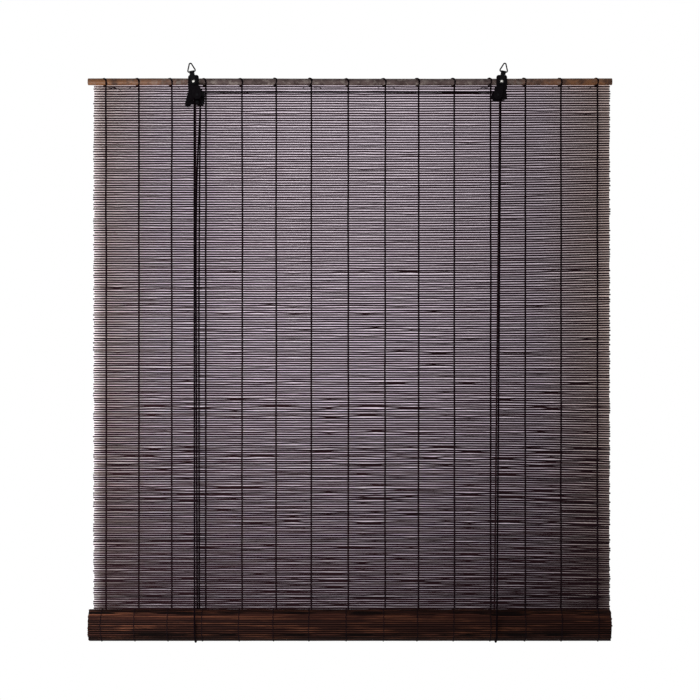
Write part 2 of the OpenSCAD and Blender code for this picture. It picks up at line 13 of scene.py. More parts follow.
import bpy
import numpy as np
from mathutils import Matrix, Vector

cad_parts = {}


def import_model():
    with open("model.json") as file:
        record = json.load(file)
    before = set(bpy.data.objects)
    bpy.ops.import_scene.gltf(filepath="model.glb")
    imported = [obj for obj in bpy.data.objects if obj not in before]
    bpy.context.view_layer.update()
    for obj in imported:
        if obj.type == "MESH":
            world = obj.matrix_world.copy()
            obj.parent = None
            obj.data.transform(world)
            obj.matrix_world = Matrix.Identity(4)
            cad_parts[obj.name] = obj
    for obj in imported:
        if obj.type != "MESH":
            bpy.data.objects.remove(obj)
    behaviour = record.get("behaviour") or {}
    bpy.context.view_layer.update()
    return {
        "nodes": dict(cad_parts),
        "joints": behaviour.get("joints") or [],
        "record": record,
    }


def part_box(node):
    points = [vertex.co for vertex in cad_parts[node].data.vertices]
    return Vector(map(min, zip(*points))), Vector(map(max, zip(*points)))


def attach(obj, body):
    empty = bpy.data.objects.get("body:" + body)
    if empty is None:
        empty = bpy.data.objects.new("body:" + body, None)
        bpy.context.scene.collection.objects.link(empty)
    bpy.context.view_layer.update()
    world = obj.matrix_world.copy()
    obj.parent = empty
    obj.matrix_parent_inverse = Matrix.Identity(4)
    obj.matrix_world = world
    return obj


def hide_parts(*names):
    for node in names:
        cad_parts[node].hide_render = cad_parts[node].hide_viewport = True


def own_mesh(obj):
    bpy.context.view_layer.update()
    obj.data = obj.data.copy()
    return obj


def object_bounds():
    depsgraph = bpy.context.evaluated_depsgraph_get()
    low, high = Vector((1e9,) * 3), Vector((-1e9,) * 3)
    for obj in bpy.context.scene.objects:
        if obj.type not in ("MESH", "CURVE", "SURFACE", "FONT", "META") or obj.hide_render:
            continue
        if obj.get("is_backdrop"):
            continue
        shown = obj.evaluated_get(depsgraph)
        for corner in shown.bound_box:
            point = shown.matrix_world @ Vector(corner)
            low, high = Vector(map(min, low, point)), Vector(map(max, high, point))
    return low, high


LOG = logging.getLogger("blind")
MM = 0.001
LIFT_JOINT = "roll_lift"
STRAND_LINE = ((0.0, 0.0, 0.0), (0.0, 0.0, -0.1))

Point = tuple[float, float, float]
Colour = tuple[float, float, float, float]


def srgb(red: int, green: int, blue: int) -> Colour:
    """Turns a colour as seen on a screen into the linear colour that a shader takes.

    Args:
        red: Red from 0 to 255.
        green: Green from 0 to 255.
        blue: Blue from 0 to 255.

    Returns:
        The linear colour with full alpha.
    """

    def linear(value: int) -> float:
        """One channel of the conversion."""
        share = value / 255
        return share / 12.92 if share <= 0.04045 else ((share + 0.055) / 1.055) ** 2.4

    return (linear(red), linear(green), linear(blue), 1.0)


class Body(Enum):
    """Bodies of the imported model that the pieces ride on."""

    FRAME = "frame"
    SLINGS = "slings"
    ROLL = "roll"
    RING_LEFT = "ring_left"
    RING_RIGHT = "ring_right"


class Graph:
    """A node tree under construction, with short calls for its nodes and links."""

    def __init__(self, tree: bpy.types.NodeTree) -> None:
        """Keeps the tree that the nodes go into."""
        self.tree = tree

    def add(self, kind: str, feeds: dict | None = None, **settings: object) -> bpy.types.Node:
        """Adds a node.

        Args:
            kind: The node's type name.
            feeds: Values or output sockets, by the name or number of the input they go to.
            **settings: Properties of the node, set before its inputs.

        Returns:
            The new node.
        """
        node = self.tree.nodes.new(kind)
        for name, value in settings.items():
            setattr(node, name, value)
        for key, value in (feeds or {}).items():
            self.feed(self.entry(node, key), value)
        return node

    @staticmethod
    def entry(node: bpy.types.Node, key: str | int) -> bpy.types.NodeSocket:
        """The node's input of that number, or its enabled input of that name."""
        if isinstance(key, int):
            return node.inputs[key]
        return next(s for s in node.inputs if s.name == key and s.enabled)

    def feed(self, socket: bpy.types.NodeSocket, value: object) -> None:
        """Links an output to the socket, or sets the socket's own value."""
        if isinstance(value, bpy.types.NodeSocket):
            self.tree.links.new(value, socket)
        else:
            socket.default_value = value

    def math(self, operation: str, *values: object) -> bpy.types.NodeSocket:
        """The result of a math node on the given values or sockets."""
        return self.add("ShaderNodeMath", dict(enumerate(values)), operation=operation).outputs[0]

    def total(self, *values: object) -> bpy.types.NodeSocket:
        """The sum of the given values or sockets."""
        result = values[0]
        for value in values[1:]:
            result = self.math("ADD", result, value)
        return result

    def product(self, *values: object) -> bpy.types.NodeSocket:
        """The product of the given values or sockets."""
        result = values[0]
        for value in values[1:]:
            result = self.math("MULTIPLY", result, value)
        return result

    def vector(self, x: object = 0.0, y: object = 0.0, z: object = 0.0) -> bpy.types.NodeSocket:
        """A vector of three values or sockets."""
        return self.add("ShaderNodeCombineXYZ", {"X": x, "Y": y, "Z": z}).outputs[0]

    def split(self, vector: bpy.types.NodeSocket) -> bpy.types.NodeOutputs:
        """The X, Y and Z of a vector."""
        return self.add("ShaderNodeSeparateXYZ", {0: vector}).outputs

    def scaled(self, vector: object, by: object) -> bpy.types.NodeSocket:
        """A vector with each axis multiplied by that of another."""
        return self.add("ShaderNodeVectorMath", {0: vector, 1: by}, operation="MULTIPLY").outputs[0]

    def spread(self, value: object, low: object, high: object, to_low: object = 0.0,
               to_high: object = 1.0) -> bpy.types.NodeSocket:
        """Maps a value from one range onto another, and stops at the ends.

        Args:
            value: The value or socket to map.
            low: The value that becomes to_low.
            high: The value that becomes to_high.
            to_low: Start of the new range.
            to_high: End of the new range.

        Returns:
            The mapped value.
        """
        feeds = {"Value": value, "From Min": low, "From Max": high, "To Min": to_low, "To Max": to_high}
        return self.add("ShaderNodeMapRange", feeds, clamp=True).outputs[0]

    def noise(self, feeds: dict, dimensions: str = "3D") -> bpy.types.NodeSocket:
        """The value of a noise texture with the given inputs."""
        return self.add("ShaderNodeTexNoise", feeds, noise_dimensions=dimensions).outputs[0]


class Recipe(Graph):
    """A geometry tree with named sizes, which is baked into a plain mesh."""

    def __init__(self, name: str) -> None:
        """Starts the tree, with the carrier's mesh as its first input.

        Args:
            name: The tree's name.
        """
        super().__init__(bpy.data.node_groups.new(name, "GeometryNodeTree"))
        self.values: dict[str, object] = {}
        face = self.tree.interface
        face.new_socket("Geometry", in_out="INPUT", socket_type="NodeSocketGeometry")
        face.new_socket("Geometry", in_out="OUTPUT", socket_type="NodeSocketGeometry")
        self.inlet = self.tree.nodes.new("NodeGroupInput")
        self.outlet = self.tree.nodes.new("NodeGroupOutput")

    def size(self, name: str, value: object, kind: str = "NodeSocketFloat") -> bpy.types.NodeSocket:
        """Adds a named input.

        Args:
            name: The input's name.
            value: The value that the bake sets.
            kind: The input's socket type.

        Returns:
            The socket that carries the value inside the tree.
        """
        socket = self.tree.interface.new_socket(name, in_out="INPUT", socket_type=kind)
        self.values[socket.identifier] = value
        return self.inlet.outputs[name]

    def index(self) -> bpy.types.NodeSocket:
        """The number of each element, from 0."""
        return self.add("GeometryNodeInputIndex").outputs[0]

    def axes(self) -> bpy.types.NodeOutputs:
        """The X, Y and Z of each point's position."""
        return self.split(self.add("GeometryNodeInputPosition").outputs[0])

    def along(self) -> bpy.types.NodeSocket:
        """The share of its curve that lies before each point, from 0 to 1."""
        return self.add("GeometryNodeSplineParameter").outputs["Factor"]

    def points(self, count: bpy.types.NodeSocket, position: bpy.types.NodeSocket) -> bpy.types.NodeSocket:
        """That many points, each at its own position."""
        return self.add("GeometryNodePoints", {"Count": count, "Position": position}).outputs[0]

    def chance(self, low: object, high: object, seed: int) -> bpy.types.NodeSocket:
        """A random value for each element, between two limits and with a fixed seed."""
        feeds = {"Min": low, "Max": high, "Seed": seed}
        node = self.add("FunctionNodeRandomValue", feeds, data_type="FLOAT")
        return next(s for s in node.outputs if s.enabled)

    def store(self, geometry: bpy.types.NodeSocket, name: str, value: object,
              domain: str) -> bpy.types.NodeSocket:
        """Stores a number on each element.

        Args:
            geometry: The geometry to store it on.
            name: The attribute's name.
            value: The number or field.
            domain: The kind of element, such as INSTANCE or POINT.

        Returns:
            The geometry with the attribute.
        """
        feeds = {"Geometry": geometry, "Name": name, "Value": value}
        return self.add("GeometryNodeStoreNamedAttribute", feeds, data_type="FLOAT", domain=domain).outputs[0]

    def recall(self, name: str) -> bpy.types.NodeSocket:
        """The number stored under that name."""
        return self.add("GeometryNodeInputNamedAttribute", {"Name": name}, data_type="FLOAT").outputs[0]

    def place(self, geometry: bpy.types.NodeSocket, position: bpy.types.NodeSocket) -> bpy.types.NodeSocket:
        """The geometry with each point set to a new position."""
        return self.add("GeometryNodeSetPosition", {"Geometry": geometry, "Position": position}).outputs[0]

    def straight(self, start: object, end: object, count: object) -> bpy.types.NodeSocket:
        """A straight curve between two points, with that many points on it."""
        line = self.add("GeometryNodeCurvePrimitiveLine", {"Start": start, "End": end}).outputs[0]
        return self.add("GeometryNodeResampleCurve", {"Curve": line, "Count": count}).outputs[0]

    def copies(self, points: bpy.types.NodeSocket, instance: bpy.types.NodeSocket,
               **feeds: object) -> bpy.types.NodeSocket:
        """A copy of the instance on each point, with any rotation or scale given by name."""
        inputs = {"Points": points, "Instance": instance, **feeds}
        return self.add("GeometryNodeInstanceOnPoints", inputs).outputs[0]

    def realized(self, geometry: bpy.types.NodeSocket) -> bpy.types.NodeSocket:
        """The copies as geometry of their own."""
        return self.add("GeometryNodeRealizeInstances", {"Geometry": geometry}).outputs[0]

    def swept(self, curves: bpy.types.NodeSocket, across: object, along: object, sides: int,
              girth: object = 1.0) -> bpy.types.NodeSocket:
        """Sweeps an oval along each curve and closes its ends.

        Args:
            curves: The curves to follow.
            across: Half the oval's size along the curve's normal.
            along: Half the oval's size square to the normal.
            sides: How many sides the oval has.
            girth: The oval's scale at each point of the curve.

        Returns:
            The swept mesh, shaded smooth.
        """
        oval = self.add("GeometryNodeCurvePrimitiveCircle", {"Resolution": sides, "Radius": 1.0}).outputs[0]
        scale = self.vector(across, along, 1.0)
        profile = self.add("GeometryNodeTransform", {"Geometry": oval, "Scale": scale}).outputs[0]
        feeds = {"Curve": curves, "Profile Curve": profile, "Scale": girth, "Fill Caps": True}
        sweep = self.add("GeometryNodeCurveToMesh", feeds)
        return self.add("GeometryNodeSetShadeSmooth", {"Geometry": sweep.outputs[0]}).outputs[0]

    def bake(self, name: str, geometry: bpy.types.NodeSocket, material: bpy.types.Material,
             points: list[Point] | None = None) -> bpy.types.Object:
        """Ends the tree and turns its result into a plain mesh object.

        Args:
            name: The new piece's name.
            geometry: The finished geometry.
            material: The material of the whole piece.
            points: Points of the carrier's mesh, which the tree may build on.

        Returns:
            The piece, with no modifier left on it.
        """
        paint = self.size("Material", material, "NodeSocketMaterial")
        solid = self.realized(geometry)
        dressed = self.add("GeometryNodeSetMaterial", {"Geometry": solid, "Material": paint}).outputs[0]
        self.feed(self.outlet.inputs[0], dressed)
        mesh = bpy.data.meshes.new(name + "_points")
        mesh.from_pydata(points or [], [], [])
        carrier = bpy.data.objects.new(name + "_carrier", mesh)
        bpy.context.scene.collection.objects.link(carrier)
        modifier = carrier.modifiers.new("recipe", "NODES")
        modifier.node_group = self.tree
        for identifier, value in self.values.items():
            modifier[identifier] = value
        graph = bpy.context.evaluated_depsgraph_get()
        result = bpy.data.meshes.new_from_object(carrier.evaluated_get(graph), depsgraph=graph)
        result.name = name
        result.materials.clear()
        result.materials.append(material)
        result.polygons.foreach_set("material_index", [0] * len(result.polygons))
        piece = bpy.data.objects.new(name, result)
        bpy.context.scene.collection.objects.link(piece)
        bpy.data.objects.remove(carrier)
        return piece


class Effects:
    """Shader node groups that several finishes share."""

    _groups: dict[str, bpy.types.NodeTree] = {}

    @classmethod
    def _group(cls, name: str, inputs: dict[str, float], outputs: list[str]) -> tuple[Graph, dict]:
        """Starts a group with a vector input, number inputs and number outputs.

        Args:
            name: The group's name.
            inputs: The number inputs and their usual values.
            outputs: The outputs' names.

        Returns:
            The group's graph, and its inputs and outputs by name.
        """
        tree = bpy.data.node_groups.new(name, "ShaderNodeTree")
        tree.interface.new_socket("Vector", in_out="INPUT", socket_type="NodeSocketVector")
        for key, value in inputs.items():
            socket = tree.interface.new_socket(key, in_out="INPUT", socket_type="NodeSocketFloat")
            socket.default_value = value
        for key in outputs:
            tree.interface.new_socket(key, in_out="OUTPUT", socket_type="NodeSocketFloat")
        inlet = tree.nodes.new("NodeGroupInput")
        outlet = tree.nodes.new("NodeGroupOutput")
        cls._groups[name] = tree
        sockets = [*inlet.outputs, *outlet.inputs]
        return Graph(tree), {s.name: s for s in sockets if s.name}

    @classmethod
    def fibre(cls) -> bpy.types.NodeTree:
        """Long fibres along X: a streak mask from pale to dark and a height for bump."""
        if "fibre" not in cls._groups:
            graph, ends = cls._group("fibre", {"Length": 8.0, "Fineness": 900.0, "Contrast": 0.25},
                                     ["Streak", "Height"])
            stretch = graph.vector(ends["Length"], ends["Fineness"], ends["Fineness"])
            where = graph.scaled(ends["Vector"], stretch)
            grain = graph.noise({"Vector": where, "Scale": 1.0, "Detail": 4.0, "Roughness": 0.6})
            low = graph.math("SUBTRACT", 0.5, ends["Contrast"])
            high = graph.math("ADD", 0.5, ends["Contrast"])
            graph.feed(ends["Streak"], graph.spread(grain, low, high))
            graph.feed(ends["Height"], grain)
        return cls._groups["fibre"]

    @classmethod
    def patches(cls) -> bpy.types.NodeTree:
        """Soft-edged patches: a mask that covers more as Cover rises."""
        if "patches" not in cls._groups:
            graph, ends = cls._group("patches", {"Scale": 40.0, "Cover": 0.5, "Edge": 0.08}, ["Mask"])
            cloud = graph.noise({"Vector": ends["Vector"], "Scale": ends["Scale"], "Detail": 5.0,
                                 "Roughness": 0.62})
            level = graph.math("SUBTRACT", 1.0, ends["Cover"])
            low = graph.math("SUBTRACT", level, ends["Edge"])
            high = graph.math("ADD", level, ends["Edge"])
            graph.feed(ends["Mask"], graph.spread(cloud, low, high))
        return cls._groups["patches"]


@dataclass(frozen=True)
class Finish:
    """What every finish shares: its name, the record's slot and its gloss."""

    name: str
    slot: str
    roughness: float
    specular: float = 0.3
    metallic: float = 0.0

    def start(self) -> tuple[bpy.types.Material, Graph, bpy.types.Node]:
        """A new material with its shader.

        Returns:
            The material, its graph and its Principled node.
        """
        material = bpy.data.materials.new(self.name)
        material.use_nodes = True
        graph = Graph(material.node_tree)
        shader = material.node_tree.nodes["Principled BSDF"]
        shader.inputs["Roughness"].default_value = self.roughness
        shader.inputs["Specular IOR Level"].default_value = self.specular
        shader.inputs["Metallic"].default_value = self.metallic
        return material, graph, shader

    @staticmethod
    def place(graph: Graph) -> bpy.types.NodeSocket:
        """The point on the piece, in metres."""
        return graph.add("ShaderNodeTexCoord").outputs["Object"]

    @staticmethod
    def blend(graph: Graph, mask: object, first: object, second: object) -> bpy.types.NodeSocket:
        """A colour between two, by a mask."""
        node = graph.add("ShaderNodeMix", {"Factor": mask}, data_type="RGBA")
        graph.feed(node.inputs[6], first)
        graph.feed(node.inputs[7], second)
        return node.outputs[2]

    @staticmethod
    def effect(graph: Graph, tree: bpy.types.NodeTree, **feeds: object) -> bpy.types.Node:
        """Places a shared effect with its own values."""
        return graph.add("ShaderNodeGroup", feeds, node_tree=tree)

    @staticmethod
    def bump(graph: Graph, shader: bpy.types.Node, height: object, strength: float, depth: float) -> None:
        """Feeds a height to the shader's normal.

        Args:
            graph: The material's graph.
            shader: The Principled node.
            height: The height's socket.
            strength: How strong the bump is, from 0 to 1.
            depth: The depth of the bump in metres.
        """
        node = graph.add("ShaderNodeBump", {"Height": height, "Strength": strength, "Distance": depth})
        graph.feed(shader.inputs["Normal"], node.outputs[0])


@dataclass(frozen=True)
class SlatFinish(Finish):
    """Dark stained split bamboo, each slat with its own tone. The roll's copies add painted light: painted
    highlight on its outer slats and painted shade on its inside.
    """

    dark: Colour = srgb(16, 6, 10)
    pale: Colour = srgb(52, 31, 36)
    warm: Colour = srgb(92, 59, 49)
    warmth: float = 0.25
    tone_share: float = 0.6
    streak_stretch: Point = (9.0, 160.0, 160.0)
    gloss_play: float = 0.1

    def material(self) -> bpy.types.Material:
        """Builds the material from the slats' tone and their fibres."""
        material, graph, shader = self.start()
        where = self.place(graph)
        tone = graph.add("ShaderNodeAttribute", attribute_name="tone").outputs["Fac"]
        fibre = self.effect(graph, Effects.fibre(), Vector=where, Length=7.0, Fineness=1400.0, Contrast=0.22)
        mix = graph.total(graph.product(tone, self.tone_share),
                          graph.product(fibre.outputs["Streak"], 1.0 - self.tone_share))
        stain = self.blend(graph, mix, self.dark, self.pale)
        # Warm streaks along the slats (the mask called worn): the bamboo's own reddish streaks, and on the
        # roll's copy partly painted highlight.
        stretched = graph.scaled(where, self.streak_stretch)
        worn = self.effect(graph, Effects.patches(), Vector=stretched, Scale=1.0, Cover=self.warmth,
                           Edge=0.07)
        share = graph.product(worn.outputs["Mask"], fibre.outputs["Streak"])
        graph.feed(shader.inputs["Base Color"], self.blend(graph, share, stain, self.warm))
        rough = graph.spread(fibre.outputs["Streak"], 0.0, 1.0, self.roughness - self.gloss_play,
                             self.roughness + self.gloss_play)
        graph.feed(shader.inputs["Roughness"], rough)
        self.bump(graph, shader, fibre.outputs["Height"], 0.5, 0.3 * MM)
        return material


@dataclass(frozen=True)
class PoleFinish(Finish):
    """Stained pole: warm brown towards its ends, greyer and flaked in the middle."""

    middle: Colour = srgb(108, 89, 87)
    end: Colour = srgb(152, 100, 60)
    deep: Colour = srgb(46, 29, 25)
    flake: Colour = srgb(172, 158, 150)
    grey_reach: float = 0.24
    warm_reach: float = 0.40
    mottle_share: float = 0.65
    flake_middle: float = 0.5
    flake_end: float = 0.1
    grain_share: float = 0.6
    mottle_rough: float = 0.2

    def material(self) -> bpy.types.Material:
        """Builds the material from fibres, dark mottling and pale flakes."""
        material, graph, shader = self.start()
        where = self.place(graph)
        off = graph.math("ABSOLUTE", graph.split(where)["X"])
        outward = graph.spread(off, self.grey_reach, self.warm_reach)
        base = self.blend(graph, outward, self.middle, self.end)
        fibre = self.effect(graph, Effects.fibre(), Vector=where, Length=14.0, Fineness=700.0, Contrast=0.2)
        mottle = self.effect(graph, Effects.patches(), Vector=where, Scale=75.0, Cover=0.46, Edge=0.09)
        shade = graph.total(graph.product(mottle.outputs["Mask"], self.mottle_share),
                            graph.product(fibre.outputs["Streak"], 1.0 - self.mottle_share))
        stained = self.blend(graph, shade, base, self.deep)
        flakes = self.effect(graph, Effects.patches(), Vector=where, Scale=120.0, Cover=0.44, Edge=0.05)
        inward = graph.spread(outward, 0.0, 1.0, self.flake_middle, self.flake_end)
        pale = graph.product(flakes.outputs["Mask"], inward)
        graph.feed(shader.inputs["Base Color"], self.blend(graph, pale, stained, self.flake))
        rough = graph.spread(mottle.outputs["Mask"], 0.0, 1.0, self.roughness,
                             self.roughness + self.mottle_rough)
        graph.feed(shader.inputs["Roughness"], rough)
        height = graph.total(graph.product(fibre.outputs["Height"], self.grain_share),
                             graph.product(flakes.outputs["Mask"], 1.0 - self.grain_share))
        self.bump(graph, shader, height, 0.6, 0.4 * MM)
        return material


@dataclass(frozen=True)
class TwineFinish(Finish):
    """Dyed thread or cord with fine fibres."""

    dyed: Colour = srgb(16, 8, 12)
    faded: Colour = srgb(34, 22, 27)
    fibre_scale: float = 2600.0
    fuzz_share: float = 0.35
    fade_share: float = 0.3
    gloss_play: float = 0.1

    def material(self) -> bpy.types.Material:
        """Builds the material from fine fibre patches."""
        material, graph, shader = self.start()
        where = self.place(graph)
        patches = Effects.patches()
        fuzz = self.effect(graph, patches, Vector=where, Scale=self.fibre_scale, Cover=0.45, Edge=0.2)
        fade = self.effect(graph, patches, Vector=where, Scale=60.0, Cover=0.4, Edge=0.2)
        mask = graph.total(graph.product(fuzz.outputs["Mask"], self.fuzz_share),
                           graph.product(fade.outputs["Mask"], self.fade_share))
        graph.feed(shader.inputs["Base Color"], self.blend(graph, mask, self.dyed, self.faded))
        rough = graph.spread(fuzz.outputs["Mask"], 0.0, 1.0, self.roughness - self.gloss_play, self.roughness)
        graph.feed(shader.inputs["Roughness"], rough)
        self.bump(graph, shader, fuzz.outputs["Mask"], 0.5, 0.12 * MM)
        return material


@dataclass(frozen=True)
class MouldedFinish(Finish):
    """Black moulded plastic with a fine spark texture and rubbed, paler spots."""

    fresh: Colour = srgb(7, 4, 7)
    rubbed: Colour = srgb(24, 21, 25)
    rub_share: float = 0.35
    fresh_rough: float = 0.1
    rubbed_smooth: float = 0.08

    def material(self) -> bpy.types.Material:
        """Builds the material from a fine grain and rubbed patches."""
        material, graph, shader = self.start()
        where = self.place(graph)
        spark = graph.noise({"Vector": where, "Scale": 2400.0, "Detail": 2.0, "Roughness": 0.5})
        rubs = self.effect(graph, Effects.patches(), Vector=where, Scale=260.0, Cover=0.4, Edge=0.1)
        share = graph.product(rubs.outputs["Mask"], self.rub_share)
        graph.feed(shader.inputs["Base Color"], self.blend(graph, share, self.fresh, self.rubbed))
        rough = graph.spread(rubs.outputs["Mask"], 0.0, 1.0, self.roughness + self.fresh_rough,
                             self.roughness - self.rubbed_smooth)
        graph.feed(shader.inputs["Roughness"], rough)
        self.bump(graph, shader, spark, 0.35, 0.08 * MM)
        return material


@dataclass(frozen=True)
class MetalFinish(Finish):
    """Metal with fine drawn scratches and duller patches."""

    bright: Colour = srgb(205, 203, 198)
    dull: Colour = srgb(150, 147, 142)
    dull_share: float = 0.6
    scratch_share: float = 0.2
    dull_rough: float = 0.18

    def material(self) -> bpy.types.Material:
        """Builds the material from scratches and dull patches."""
        material, graph, shader = self.start()
        where = self.place(graph)
        scratch = self.effect(graph, Effects.fibre(), Vector=where, Length=300.0, Fineness=4200.0,
                              Contrast=0.2)
        dull = self.effect(graph, Effects.patches(), Vector=where, Scale=420.0, Cover=0.42, Edge=0.12)
        mask = graph.total(graph.product(dull.outputs["Mask"], self.dull_share),
                           graph.product(scratch.outputs["Streak"], self.scratch_share))
        graph.feed(shader.inputs["Base Color"], self.blend(graph, mask, self.bright, self.dull))
        rough = graph.spread(dull.outputs["Mask"], 0.0, 1.0, self.roughness, self.roughness + self.dull_rough)
        graph.feed(shader.inputs["Roughness"], rough)
        self.bump(graph, shader, scratch.outputs["Height"], 0.2, 0.05 * MM)
        return material


class Palette:
    """The blind's finishes, each built once."""

    def __init__(self) -> None:
        """Builds every material."""
        slat = SlatFinish("slat_bamboo", "slat", roughness=0.66, specular=0.07)
        # The roll's outer slats: paler and warmer than the hanging slats, with more warm streaks; partly the
        # bamboo's own colour, partly painted highlight on the roll's slats.
        wound = SlatFinish("wound_bamboo_painted_highlight", "slat", roughness=0.6, specular=0.06, dark=srgb(22, 9, 7),
                           pale=srgb(84, 47, 37), warm=srgb(138, 84, 60), warmth=0.42)
        # The roll's solid inside, seen between its outer slats and at its ends: the same bamboo made near
        # black, as painted shade between the turns.
        core = SlatFinish("core_bamboo_painted_shade", "slat", roughness=0.7, specular=0.04, dark=srgb(8, 3, 3),
                          pale=srgb(20, 10, 8), warm=srgb(30, 16, 12))
        pole = PoleFinish("pole_stain", "stained_pole", roughness=0.42, specular=0.35)
        thread = TwineFinish("warp_thread", "thread", roughness=0.85, specular=0.05)
        cord = TwineFinish("braided_cord", "cord", roughness=0.85, specular=0.02, dyed=srgb(9, 4, 7),
                           faded=srgb(20, 12, 16), fibre_scale=2000.0)
        plastic = MouldedFinish("black_moulding", "black_plastic", roughness=0.45, specular=0.04)
        steel = MetalFinish("blackened_steel", "dark_steel", roughness=0.42, specular=0.06,
                            bright=srgb(15, 14, 17), dull=srgb(8, 7, 9))
        nickel = MetalFinish("nickel_plate", "nickel", roughness=0.2, metallic=1.0)
        self.slot = {f.name: f.slot for f in (slat, wound, core, pole, thread, cord, plastic, steel, nickel)}
        self.slat, self.wound, self.core = slat.material(), wound.material(), core.material()
        self.pole = pole.material()
        self.thread, self.cord = thread.material(), cord.material()
        self.plastic, self.steel, self.nickel = plastic.material(), steel.material(), nickel.material()


class Wardrobe:
    """Hands each piece to its body and hides the solids that it stands for."""

    def __init__(self, palette: Palette) -> None:
        """Keeps the palette, which knows each finish's slot."""
        self.palette = palette

    def hang(self, piece: bpy.types.Object, body: Body, *nodes: str) -> bpy.types.Object:
        """Lets a piece ride on a body and stand for solids.

        Args:
            piece: The finished piece.
            body: The body that it moves with.
            *nodes: The solids that it replaces.

        Returns:
            The piece.
        """
        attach(piece, body.value)
        if nodes:
            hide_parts(*nodes)
        LOG.info("%s: %d faces on %s", piece.name, len(piece.data.polygons), body.value)
        return piece

    @staticmethod
    def gather(piece: bpy.types.Object, top: float, bottom: float, travel: float) -> None:
        """Gives a hanging piece its own copy of its mesh.

        Args:
            piece: The piece.
            top: Height of its fixed end; not used.
            bottom: Height of its lower end; not used.
            travel: How far the lower end rises; not used.
        """
        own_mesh(piece)


def mesh_piece(name: str, points: np.ndarray, faces: list, material: bpy.types.Material,
               smooth: bool = True) -> bpy.types.Object:
    """Makes a mesh object at the origin.

    Args:
        name: The piece's name.
        points: Its points, one row each.
        faces: Its faces, as lists of point numbers.
        material: Its material.
        smooth: Whether its faces are shaded smooth.

    Returns:
        The new object.
    """
    mesh = bpy.data.meshes.new(name)
    mesh.from_pydata([tuple(p) for p in points], [], faces)
    mesh.materials.append(material)
    mesh.polygons.foreach_set("use_smooth", [smooth] * len(mesh.polygons))
    mesh.update()
    piece = bpy.data.objects.new(name, mesh)
    bpy.context.scene.collection.objects.link(piece)
    return piece


def even_path(points: list[Point], step: float, rounds: int = 0) -> np.ndarray:
    """Spaces points evenly along a route.

    Args:
        points: The route's own points.
        step: The wanted spacing.
        rounds: How many times the route's corners are cut before it is spaced.

    Returns:
        The spaced points, one row each.
    """
    route = np.array(points, float)
    for _ in range(rounds):
        quarter = 0.75 * route[:-1] + 0.25 * route[1:]
        three = 0.25 * route[:-1] + 0.75 * route[1:]
        inner = np.stack([quarter, three], 1).reshape(-1, 3)
        route = np.vstack([route[:1], inner, route[-1:]])
    lengths = np.linalg.norm(np.diff(route, axis=0), axis=1)
    travelled = np.concatenate([[0.0], np.cumsum(lengths)])
    count = max(2, int(round(travelled[-1] / step)) + 1)
    marks = np.linspace(0.0, travelled[-1], count)
    return np.stack([np.interp(marks, travelled, route[:, k]) for k in range(3)], 1)


def path_frames(path: np.ndarray, closed: bool = False) -> tuple[np.ndarray, np.ndarray]:
    """Two directions square to a path at each of its points, with no needless twist.

    Args:
        path: The path's points.
        closed: Whether its end joins its start.

    Returns:
        The first and the second direction at each point.
    """
    if closed:
        ahead = np.roll(path, -1, 0) - np.roll(path, 1, 0)
    else:
        ahead = np.gradient(path, axis=0)
    ahead /= np.linalg.norm(ahead, axis=1)[:, None]
    helper = np.array([1.0, 0.0, 0.0]) if abs(ahead[0][0]) < 0.8 else np.array([0.0, 1.0, 0.0])
    first = np.zeros_like(path)
    side = np.cross(ahead[0], helper)
    for i, along in enumerate(ahead):
        side = side - along * np.dot(side, along)
        side /= np.linalg.norm(side)
        first[i] = side
    return first, np.cross(ahead, first)


@dataclass
class Twine:
    """A twisted cord: a round bundle whose plies wind along its path."""

    diameter: float
    plies: int = 3
    lay: float = 7.5 * MM
    groove: float = 0.16
    sides: int = 12
    step: float = 1.1 * MM

    def along(self, name: str, points: list[Point], material: bpy.types.Material,
              rounds: int = 0) -> tuple[bpy.types.Object, np.ndarray]:
        """Winds the cord along a route.

        Args:
            name: The piece's name.
            points: The route's own points.
            material: The cord's material.
            rounds: How many times the route's corners are cut.

        Returns:
            The piece and the path that it follows.
        """
        path = even_path(points, self.step, rounds)
        first, second = path_frames(path)
        travelled = np.concatenate([[0.0], np.cumsum(np.linalg.norm(np.diff(path, axis=0), axis=1))])
        angle = np.linspace(0.0, 2 * math.pi, self.sides, endpoint=False)
        turn = 2 * math.pi * travelled / self.lay
        lobes = np.abs(np.cos(0.5 * self.plies * (angle[None, :] - turn[:, None])))
        radius = 0.5 * self.diameter * (1 - self.groove + self.groove * lobes)
        rings = (path[:, None, :] + radius[..., None] * (np.cos(angle)[None, :, None] * first[:, None, :]
                                                        + np.sin(angle)[None, :, None] * second[:, None, :]))
        return mesh_piece(name, rings.reshape(-1, 3), tube_faces(len(path), self.sides), material), path


def tube_faces(rings: int, sides: int, closed: bool = False) -> list[list[int]]:
    """Faces that join rings of points into a tube.

    Args:
        rings: How many rings there are.
        sides: How many points a ring has.
        closed: Whether the last ring joins the first, with no ends to close.

    Returns:
        The faces, as lists of point numbers that point outwards.
    """
    faces = []
    for i in range(rings if closed else rings - 1):
        here, there = i * sides, (i + 1) % rings * sides
        for k in range(sides):
            other = (k + 1) % sides
            faces.append([here + k, here + other, there + other, there + k])
    if not closed:
        faces.append(list(range(sides - 1, -1, -1)))
        faces.append([(rings - 1) * sides + k for k in range(sides)])
    return faces


def wire(name: str, path: np.ndarray, diameter: float, material: bpy.types.Material, sides: int = 10,
         closed: bool = False) -> bpy.types.Object:
    """A round wire or thread along a path.

    Args:
        name: The piece's name.
        path: The points that it follows.
        diameter: Its diameter.
        material: Its material.
        sides: How many sides it has.
        closed: Whether its end joins its start.

    Returns:
        The piece.
    """
    first, second = path_frames(path, closed)
    angle = np.linspace(0.0, 2 * math.pi, sides, endpoint=False)
    rings = path[:, None, :] + 0.5 * diameter * (np.cos(angle)[None, :, None] * first[:, None, :]
                                                + np.sin(angle)[None, :, None] * second[:, None, :])
    return mesh_piece(name, rings.reshape(-1, 3), tube_faces(len(path), sides, closed), material)


